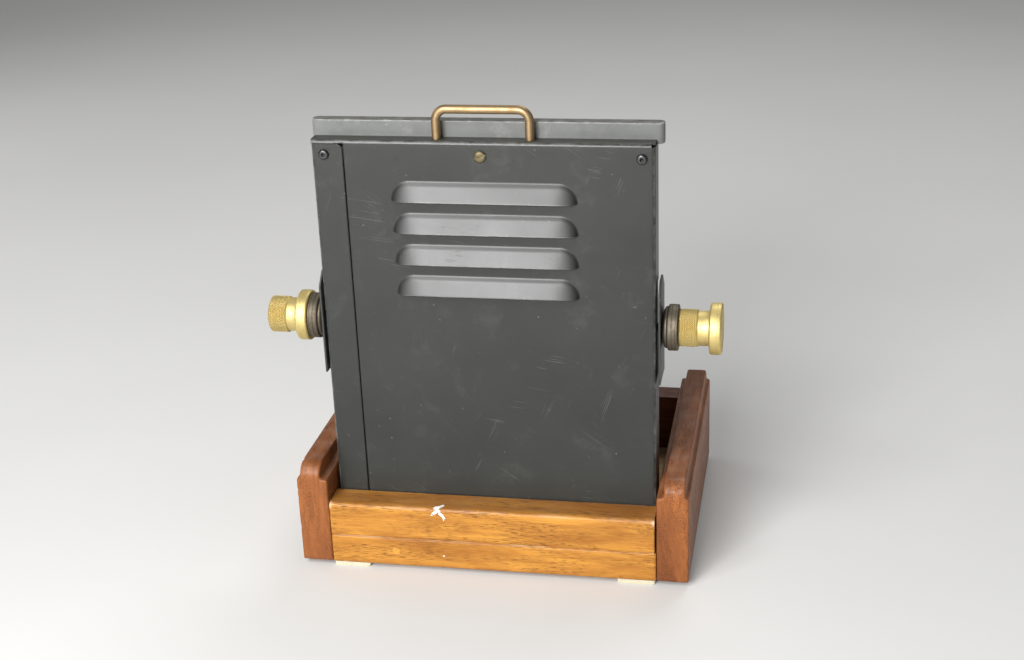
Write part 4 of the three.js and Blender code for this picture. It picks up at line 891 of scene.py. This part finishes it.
def cover_sheet():
    sheet = Sheet()
    right, top = COVER_RIGHT - FOLD, COVER_TOP - FOLD
    seam = SEAM_X + SEAM_GAP
    near, far = LOUVRE_X - LOUVRE_HALF, LOUVRE_X + LOUVRE_HALF

    def x_size(x):
        if x < seam + ROLL_WIDTH:
            return ROLL_WIDTH / 5
        at_end = LOUVRE_HALF - LOUVRE_END < abs(x - LOUVRE_X) < LOUVRE_HALF + 2 * MM
        return FINE if at_end else COARSE

    def z_size(z):
        at_louvre = any(lip - 4 * MM < z < lip + LOUVRE_HEIGHT + 1.5 * MM for lip in lips)
        return FINE if at_louvre else COARSE

    xs = np.array(steps([seam, seam + ROLL_WIDTH, near - 2 * MM, near + LOUVRE_END, far - LOUVRE_END,
                         far + 2 * MM, right], x_size))
    z_marks = [COVER_BOTTOM]
    for lip in reversed(lips):
        z_marks += [lip - 4 * MM, lip, lip + LOUVRE_HEIGHT + 1.5 * MM]
    zs = steps(z_marks + [top], z_size)

    def row(z, lip):
        raised = louvre_depth(xs, z, lip) if lip else np.zeros_like(xs)
        return [(x, FACE_Y + buckle(x, z) + rolled(x - seam) - out, z) for x, out in zip(xs, raised)]

    start, below = 0, None
    for lip in sorted(lips) + [None]:
        stop = zs.index(lip) if lip else len(zs) - 1
        sheet.grid([row(z, below) for z in zs[start:stop]] + [row(zs[stop], None)])
        start, below = stop, lip
    side = [[(right + s, FACE_Y + b + buckle(right, z) * (b < FOLD), z)
             for s, b in fold_profile(RETURN_BACK - FACE_Y)] for z in zs]
    sheet.grid(side, keep=lambda i, j: outside_notch(side[i][j + 1][1], zs[i]))
    all_xs = steps([COVER_LEFT, seam], lambda x: COARSE)[:-1] + list(xs)
    flange = fold_profile(FLANGE_BACK)

    def sunk(x, b):
        return (buckle(x, top) + rolled(x - seam) * (x >= seam)) * (b < 1e-9)

    sheet.grid([[(x, FACE_Y + b + sunk(x, b), top + s) for x in all_xs] for s, b in flange])
    corner_xs = np.linspace(right, COVER_RIGHT - 0.4 * MM, 4)
    sheet.grid([[(x, FACE_Y + b, COVER_TOP) for x in corner_xs] for s, b in flange if b >= FOLD - 1e-9])
    sheet.finish("louvred_cover", "louvred_cover")


def corner_strip():
    sheet = Sheet()
    low, high = span("cover_corner_strip", "Z")
    corner = 5 * MM
    left, roll_start = COVER_LEFT + FOLD, SEAM_X - ROLL_WIDTH
    zs = steps([low, high - corner, high], lambda z: 6 * MM if z < high - corner else 0.6 * MM)
    xs = steps([left, roll_start, SEAM_X], lambda x: 1 * MM if x < roll_start else ROLL_WIDTH / 5)
    profile = fold_profile(RETURN_BACK - FACE_Y)[:0:-1]
    rows = []
    for z in zs:
        rise = max(0.0, z - (high - corner))
        edge = SEAM_X - corner + math.sqrt(max(0.0, corner ** 2 - rise ** 2))
        places = [left + (x - left) * (edge - left) / (SEAM_X - left) for x in xs]
        rows.append([(left - s, FACE_Y + b + buckle(left, z) * (b < FOLD), z) for s, b in profile]
                    + [(x, FACE_Y + buckle(x, z) + rolled(edge - x), z) for x in places])
    sheet.grid(rows, keep=lambda i, j: outside_notch(rows[i][j + 1][1], zs[i]))
    sheet.finish("corner_strip", "cover_corner_strip")


cover_sheet()
corner_strip()


def socket_screw(side):
    """Button head with a hexagon socket, over the same shank as the CAD screw."""
    node = f"{side}_cover_screw"
    centre = middle(node)
    front, back = span(node, "Y")
    radius = half_width(node, "X")
    height, shank, hexagon = 2.75 * MM, 2.5 * MM, 1.5 * MM
    rim = front + height
    count = 72
    angles = np.linspace(0, TURN, count, endpoint=False)
    crown = [(front + height * (1 - math.sin(a)) * 0.8, radius * (0.55 + 0.45 * math.cos(a)))
             for a in np.linspace(0.25, QUARTER, 8)]
    head = [(back, shank), (rim, shank), (rim, radius), (rim - 0.5 * MM, radius)]
    rings = [(y, np.full(count, r), 0) for y, r in head + crown]
    socket = hexagon / np.cos((angles % (TURN / 6)) - TURN / 12)
    rings += [(front + depth * MM, share * socket, darkening)
              for depth, share, darkening in ((0.02, 1.12, 0), (0.3, 1.0, 1), (1.5, 1.0, 1), (1.9, 0.02, 1))]
    points = [(centre.x + r * math.cos(a), y, centre.z + r * math.sin(a))
              for y, radii, _ in rings for a, r in zip(angles, radii)]
    hollow = np.repeat([darkening for _, _, darkening in rings], count)
    obj = mesh_object(f"{side}_button_head", points, quads(len(rings), count, False, True), hollow=hollow)
    piece(cleaned(obj), "base", "black_steel", node)


socket_screw("left")
socket_screw("right")
refined("brass_cover_screw", 0.25, finish="tarnished_brass")


def handle_tube():
    """A bent rod standing on the flange, with a thin spigot through it at each foot."""
    centre = middle("handle")
    radius, bend, spigot = half_width("handle", "Y"), 10 * MM, 2 * MM
    foot = COVER_TOP + 0.1 * MM
    top = span("handle", "Z")[1] - radius
    half = half_width("handle", "X") - radius
    left = [(-half, foot - 4.5 * MM), (-half, foot)] + [(-half, z) for z in np.linspace(foot, top - bend, 9)]
    left += [(-half + bend * (1 - math.cos(a)), top - bend + bend * math.sin(a))
             for a in np.linspace(0, QUARTER, 17)[1:]]
    across = [(x, top) for x in np.linspace(-half + bend, half - bend, 21)[1:-1]]
    path = left + across + [(-x, z) for x, z in reversed(left)]
    count = 40
    points = []
    for i, (x, z) in enumerate(path):
        a, b = path[max(0, i - 1)], path[min(len(path) - 1, i + 1)]
        heading = Vector((b[0] - a[0], 0, b[1] - a[1])).normalized()
        width = spigot if i < 2 or i > len(path) - 3 else radius
        for angle in np.linspace(0, TURN, count, endpoint=False):
            reach = width + 0.06 * MM * wavy(x * 120, angle, z * 120)
            out = reach * math.cos(angle)
            points.append((centre.x + x + heading.z * out, centre.y + reach * math.sin(angle),
                           z - heading.x * out))
    obj = mesh_object("brass_handle", points, quads(len(path), count, False, True))
    piece(cleaned(obj), "base", "aged_brass", "handle")


handle_tube()

# ---- chassis and what it holds

refined("chassis_shell", 0.7, angle=40)
for node, bevel in (("top_cross_rail", 0.4), ("bellows_frame", 0.8), ("cable_gland", 0.35),
                    ("left_tube_holder", 0.5), ("right_tube_holder", 0.5), ("left_handle_nut", 0.3),
                    ("right_handle_nut", 0.3), ("left_floor_screw", 0.2), ("right_floor_screw", 0.2),
                    ("ballast", 1.2), ("terminal_block", 0.5), ("diffuser_glass", 0.3)):
    refined(node, bevel)

for index in (1, 2, 3):
    node = f"lamp_tube_{index}"
    end = half_width(node, "X")
    radius = half_width(node, "Z")
    cap = end - 12 * MM
    half_tube = [(end, 0), (end, radius * 0.8), (end - 1 * MM, radius), (cap, radius),
                 (cap - 1.5 * MM, radius * 0.92)]
    tube = [(-x, r) for x, r in half_tube] + half_tube[::-1]
    piece(lathe(f"lamp_{index}", tube, "X", middle(node), 40), "base", "lamp_glass", node)

# ---- negative carrier and clamps

weathered("carrier_bar", 0.9 * MM, "carrier", "black_paint", 2, 0.4 * MM, 0.08 * MM, 2.0, "rubbed_bar_paint")
for node in ("carrier_frame", "lamp_side_glass", "lens_side_glass"):
    refined(node, 0.3, "carrier")

KNURL_ACROSS = 60                     # diamonds round the knob
KNURL_PITCH = 1.78 * MM
KNURL_DEPTH = 0.6 * MM
STUD_BORE = 4.3                       # radius, in mm like the outlines of what is turned
CLAMP_AXIS = (0, CARRIER_Y, AXIS_Z)


def knurl(along, angle, start, stop, pitch=KNURL_PITCH, depth=KNURL_DEPTH, across=KNURL_ACROSS):
    """Two crossing sets of V grooves between start and stop, faded out at both ends of the band."""
    u = angle * across / TURN
    v = (along - start) / pitch
    groove = np.minimum(np.abs((u + v) % 1 - 0.5), np.abs((u - v) % 1 - 0.5)) * 2
    fade = np.clip(np.minimum(along - start, stop - along) / (0.6 * MM), 0, 1)
    return -depth * np.clip(1 - groove * 1.5, 0, 1) * fade


def outer_span(node):
    """A node's near and far ends along X, in mm from the middle plane, whichever side it is on."""
    return sorted(abs(v) / MM for v in span(node, "X"))


def clamp_knob(side, sign):
    """A knurled barrel, a plain neck and a turned flange; the left knob is mounted the other way round."""
    node = f"{side}_knob"
    inner, outer = outer_span(node)
    barrel, flange = (inner, outer - 11) if sign > 0 else (outer - 17.2, inner)
    turned = [(0, 22.0), (0.3, 22.6), (0.8, 23.1), (1.5, 23.4), (2.3, 23.5), (6.8, 23.5), (6.95, 23.38),
              (7.15, 23.38), (7.3, 23.5), (9.4, 23.5), (10.0, 23.3), (10.6, 22.8), (11.0, 22.0)]
    rim = [(flange + x, r) for x, r in turned]
    grip = [(barrel + x, r) for x, r in ((0, 16.1), (0.9, 17), (16.3, 17), (17.2, 16.2))]
    if sign > 0:
        neck = [(barrel + 17.5, 15.8), (flange - 2, 15.8), (flange - 0.6, 16.4), (flange, 17.8)]
        outline = grip + neck + rim
    else:
        neck = [(flange + 11, 17.8), (flange + 11.6, 16.4), (flange + 13, 15.8), (barrel - 0.3, 15.8)]
        outline = rim + neck + grip
    last = outline[-1][1]
    bore = [(outer - 6, 0), (outer - 6, STUD_BORE), (inner, STUD_BORE)]
    face = [(outer, last - 1.6), (outer - 0.5, last - 2.6), (outer - 0.5, 8), (outer - 0.2, 7),
            (outer - 0.2, 0)]
    outline = bore + outline + face
    fine = []
    for a, b in zip(outline, outline[1:]):
        banded = min(a[1], b[1]) > 16.9 and min(a[0], b[0]) >= barrel and max(a[0], b[0]) <= barrel + 17
        fine += dense([a, b], 0.16 if banded else 5)[:-1]
    fine = np.array(fine + outline[-1:]) * MM
    first, stop = (barrel + 0.5) * MM, (barrel + 16.7) * MM
    inside = band(fine, 15 * MM, first, stop)

    def relief(along, angle):
        return knurl(along, angle, first, stop) * inside(along, angle)

    obj = lathe(f"{side}_clamp_knob", fine, "X", CLAMP_AXIS, 6 * KNURL_ACROSS, sign, relief)
    obj.data.set_sharp_from_angle(angle=math.radians(26))
    piece(obj, f"{side}_clamp", "knob_brass", node)


def clamp_washers(side, sign):
    """The domed spacer against the plate, then the stepped ring."""
    a, b = outer_span(f"{side}_domed_washer")
    curve = [(a + (b - a - 1) * (1 - math.cos(t)), 9 + 10 * math.sin(t))
             for t in np.linspace(0.1, QUARTER, 12)]
    dome = [(a, STUD_BORE), (a, 9)] + curve + [(b - 0.3, 19), (b, 18.7), (b, STUD_BORE)]
    a, b = outer_span(f"{side}_ring_washer")
    stepped = [(a + x, r) for x, r in (
        (0, STUD_BORE), (0, 19.8), (0.5, 20.7), (1.2, 21.1), (3.8, 21.1), (4.0, 20.7), (4.3, 20.7),
        (4.5, 21.1), (7.2, 21.1), (7.4, 20.8), (7.7, 20.8), (7.9, 21.1))]
    stepped += [(b - 0.6, 21.1), (b - 0.2, 20.8), (b, 20.4), (b, STUD_BORE)]
    for name, outline, node in (("domed_spacer", dome, "domed_washer"),
                                ("stepped_ring", stepped, "ring_washer")):
        obj = lathe(f"{side}_{name}", np.array(outline) * MM, "X", CLAMP_AXIS, 96, sign, closed=True)
        piece(obj, "carrier", "grey_spacer", f"{side}_{node}")


def threaded_stud(side, sign):
    """A stud with its thread cut as one real helix."""
    a, b = (v * MM for v in outer_span(f"{side}_stud"))
    pitch = 1.25 * MM

    def thread(along, angle):
        phase = (along / pitch + angle / TURN) % 1
        return -0.6 * MM * (1 - np.abs(phase * 2 - 1)) * np.clip(np.minimum(along - a, b - along) / MM, 0, 1)

    profile = [(a, 0), (a, 3.4 * MM)] + dense([(a + 0.6 * MM, 4 * MM), (b - 0.6 * MM, 4 * MM)], 0.32 * MM)
    profile += [(b, 3.4 * MM), (b, 0)]
    obj = lathe(f"{side}_threaded_stud", profile, "X", CLAMP_AXIS, 32, sign, thread)
    piece(obj, "carrier", "steel", f"{side}_stud")


for side, sign in (("left", -1), ("right", 1)):
    clamp_knob(side, sign)
    clamp_washers(side, sign)
    threaded_stud(side, sign)
    refined(f"{side}_slot_plate", 0.4, "carrier", finish="plate_paint")

# ---- bellows

BELLOWS_FOLDS = 9
STEPS_PER_FOLD = 12
SIDE_POINTS = 12
PLEAT = 6 * MM
NARROW = 46 * MM                      # half the width of the lens end


def pleat_loop(half_x, half_z, chamfer, y, rise):
    """One square turn of cloth, with cut corners and sides that sag inwards by rise."""
    out = []
    corners = [Vector(c) for c in ((1, -1), (1, 1), (-1, 1), (-1, -1))]
    for corner, following in zip(corners, corners[1:] + corners[:1]):
        start, end = (Vector((c.x * half_x, c.y * half_z)) for c in (corner, following))
        heading = (end - start).normalized()
        inwards = Vector((-heading.y, heading.x))
        start, end = start + heading * chamfer, end - heading * chamfer
        for t in np.linspace(0, 1, SIDE_POINTS + 1):
            p = start.lerp(end, t) + inwards * (0.5 * MM * rise * math.sin(math.pi * t))
            out.append((p.x, y, AXIS_Z + p.y))
    return out


def bellows_skin():
    """Square pleated tube with square ridges, mitred valleys and a turned-in hem at each end."""
    start, end = span("bellows", "Y")
    wide, tall = half_width("bellows", "X"), half_width("bellows", "Z")
    rings = BELLOWS_FOLDS * STEPS_PER_FOLD + 1
    points, edge = [], []
    for i in range(rings):
        t = i / (rings - 1)
        crest = 1 - abs(2 * (i % STEPS_PER_FOLD) / STEPS_PER_FOLD - 1)
        crest = crest * 0.86 + 0.14 * crest * crest * (3 - 2 * crest)
        valley = 1 - crest
        half_x, half_z = (half + (NARROW - half) * t - PLEAT * valley - 0.3 * MM * wavy(t * 40, seed, 1)
                          for half, seed in ((wide, 1), (tall, 7)))
        loop = pleat_loop(half_x, half_z, 1.2 * MM + 6.5 * MM * valley, start + (end - start) * t, valley)
        points += loop
        edge += [max(0.0, crest * 2.2 - 1.2)] * len(loop)
    obj = mesh_object("bellows_skin", points, quads(rings, len(points) // rings, False, True), edge=edge)
    cleaned(obj, sharp=24)
    modified(obj, "SOLIDIFY", thickness=1.2 * MM, offset=-1)
    dressed(obj, "bellows_cloth", "bellows")
    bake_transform(obj)


bellows_skin()

# ---- lens stage

refined("lens_standard", 1.4, "focus_stage", 3)
refined("lens_board", 0.6, "focus_stage")
refined("front_rod_support", 1.0, segments=3)
refined("rear_rod_support", 1.0, segments=3)
refined("focus_rack", 0.12)
refined("pinion_shaft", 0.12, "focus_drive")

for side in ("left", "right"):
    node = f"{side}_guide_rod"
    a, b = span(node, "Y")
    rod = [(a, 0), (a, 4.4 * MM), (a + 0.6 * MM, 5 * MM), (b - 0.6 * MM, 5 * MM), (b, 4.4 * MM), (b, 0)]
    piece(lathe(f"{side}_rod", rod, "Y", middle(node), 64), "base", "steel", node)


def lens_mount():
    back, front = span("lens_barrel", "Y")
    ring_back, ring_front = span("aperture_ring", "Y")
    ring_back, ring_front = ring_back - 0.3 * MM, ring_front + 0.3 * MM
    flange = span("lens_board", "Y")[1] + 0.3 * MM
    profile = [(back, 16), (back, 19.4), (back + 0.6 * MM, 20), (flange - 0.01 * MM, 20)]
    profile += [(flange + y * MM, r) for y, r in (
        (0, 28.6), (0.4, 29), (2.6, 29), (3, 28.4), (3, 26), (3.6, 25.2), (7, 25), (7.3, 24.4), (8, 24.4),
        (8.3, 25))]
    profile += [(ring_back - 0.3 * MM, 25), (ring_back, 24.7), (ring_back, 22.5), (ring_front, 22.5),
                (ring_front, 25.6), (ring_front + 0.5 * MM, 26)]
    profile += [(front - y * MM, r) for y, r in (
        (1.2, 26), (0.3, 25.4), (0, 24.6), (0, 21), (0.4, 20.4), (1.4, 20.4), (1.7, 19.6), (2.7, 19.4),
        (3, 18.4), (4, 18.2), (4.4, 16.6), (5, 16))]
    fine = dense([(y, r * MM) for y, r in profile], 1.0 * MM)
    inside = band(fine, 25.5 * MM, ring_front + 1.6 * MM, front - 2.2 * MM)
    obj = lathe("lens_mount", fine, "Y", middle("lens_barrel"), 480,
                relief=flutes(inside, 0.7 * MM, 60, 2), closed=True)
    piece(obj, "focus_stage", "lens_black", "lens_barrel")


def aperture_ring():
    """A scale ring, knurled on its back part and ticked on its front."""
    a, b = span("aperture_ring", "Y")
    rim = [(a, 27.0 * MM), (a + 0.5 * MM, 27.5 * MM), (b - 0.5 * MM, 27.5 * MM), (b, 27.0 * MM)]
    shape = [(a, 22.8 * MM)] + dense(rim, 0.3 * MM) + [(b, 22.8 * MM)]
    split = a + 0.45 * (b - a)
    knurled = band(shape, 26.5 * MM, a + 0.6 * MM, split)
    plain = band(shape, 26.5 * MM, split + 1 * MM, b - 1 * MM)

    def scale(along, angle):
        ridge = knurl(along, angle, a + 0.6 * MM, split, 1.0 * MM, 0.35 * MM, 100)
        tick = np.abs(((angle / TURN * 24) % 1) - 0.5) < 0.03
        return ridge * knurled(along, angle) - 0.3 * MM * (plain(along, angle) & tick)

    obj = lathe("aperture_scale_ring", shape, "Y", middle("lens_barrel"), 600, relief=scale, closed=True)
    piece(obj, "iris", "knob_brass", "aperture_ring")


lens_mount()
aperture_ring()

for node, name in (("front_lens", "front_element"), ("rear_lens", "rear_element")):
    back, front = span(node, "Y")
    radius = span(node, "X")[1]
    crown = 2.5 * MM
    curve = np.linspace(0, 1, 14)
    profile = [(back + crown * t ** 2, radius * t) for t in curve]
    profile += [(front - crown * t ** 2, radius * t) for t in curve[::-1]]
    piece(lathe(name, profile, "Y", middle(node), 80), "focus_stage", "clear_glass", node)


def focus_knob():
    a, b = (v / MM for v in span("focus_knob", "X"))
    outline = [(a, 3.3), (a, 7.6), (a + 0.4, 8), (a + 4, 8), (a + 4, 13.2), (a + 4.8, 14), (b - 1, 14),
               (b - 0.3, 13.6), (b, 12.6), (b, 9.4), (b - 0.6, 9), (b - 0.6, 0)]
    shape = np.array([(b - 2, 0), (b - 2, 3.3)] + dense(outline, 0.8)) * MM
    inside = band(shape, 13 * MM, (a + 5.4) * MM, (b - 1.6) * MM)
    obj = lathe("focus_hand_knob", shape, "X", middle("focus_knob"), 336,
                relief=flutes(inside, 0.9 * MM, 28, 3))
    piece(obj, "focus_drive", "black_plastic", "focus_knob")


focus_knob()


def small_screws(name, places, facing, radius, body):
    """Slotted cheese-head screws, all on one body and facing the same way."""
    heading = Vector(facing)
    side = Vector((0, 0, 1)) if heading.z < 0.5 else Vector((1, 0, 0))
    other = heading.cross(side)
    slot_half, slot_floor, top = radius * 0.13, 0.7 * MM, 1.5 * MM
    reach = math.sqrt((radius * 0.86) ** 2 - slot_half ** 2)
    bm = bmesh.new()
    for number, place in enumerate(Vector(p) for p in places):
        turn = math.radians(37 * number + 15)
        along = side * math.cos(turn) + other * math.sin(turn)
        across = side * -math.sin(turn) + other * math.cos(turn)
        rings = [[bm.verts.new(p) for p in ring(place + heading * height, side, other, radius * share, 32)]
                 for height, share in ((-0.5 * MM, 1.0), (1.1 * MM, 1.0), (top, 0.86))]
        bridge(bm, rings)
        floors = []
        for sign in (1, -1):
            arc = [v for v in rings[-1] if ((v.co - place).dot(across) > 0) == (sign > 0)]
            arc.sort(key=lambda v: (v.co - place).dot(along))
            edge = place + across * slot_half * sign
            rim, low = ([bm.verts.new(edge + heading * height + along * reach * s) for s in (-1, 1)]
                        for height in (top, slot_floor))
            bm.faces.new([rim[0]] + arc + [rim[1]])
            bm.faces.new((rim[0], rim[1], low[1], low[0]))
            floors.append(low)
        bm.faces.new(floors[0] + floors[1][::-1])
    piece(cleaned(from_bmesh(name, bm), 1e-7), body, "steel")


def screws_on(node, xs, zs, radius, body):
    """Screws on a node's outer face, at distances from the lens axis."""
    places = [(x, span(node, "Y")[1], AXIS_Z + z) for x in xs for z in zs]
    small_screws(f"{node}_screws", places, (0, 1, 0), radius, body)


across = span("bellows_frame", "X")[1] - 6 * MM
up = span("bellows_frame", "Z")[1] - 6 * MM - AXIS_Z
screws_on("bellows_frame", (-across, across), (-up, 0, up), 2.6 * MM, "base")
board = (-39 * MM, 39 * MM)
screws_on("lens_board", board, board, 2.2 * MM, "focus_stage")
for end in ("front", "rear"):
    node = f"{end}_rod_support"
    places = [(x * MM, middle(node).y, span(node, "Z")[1]) for x in (-60, 60, -32, 32)]
    small_screws(f"{end}_support_screws", places, (0, 0, 1), 2.2 * MM, "base")

# ---- floor

floor = mesh_object("floor", [(-9, -9, 0), (9, -9, 0), (9, 9, 0), (-9, 9, 0)], [(0, 1, 2, 3)])
floor.data.materials.append(finishes["floor_paper"])
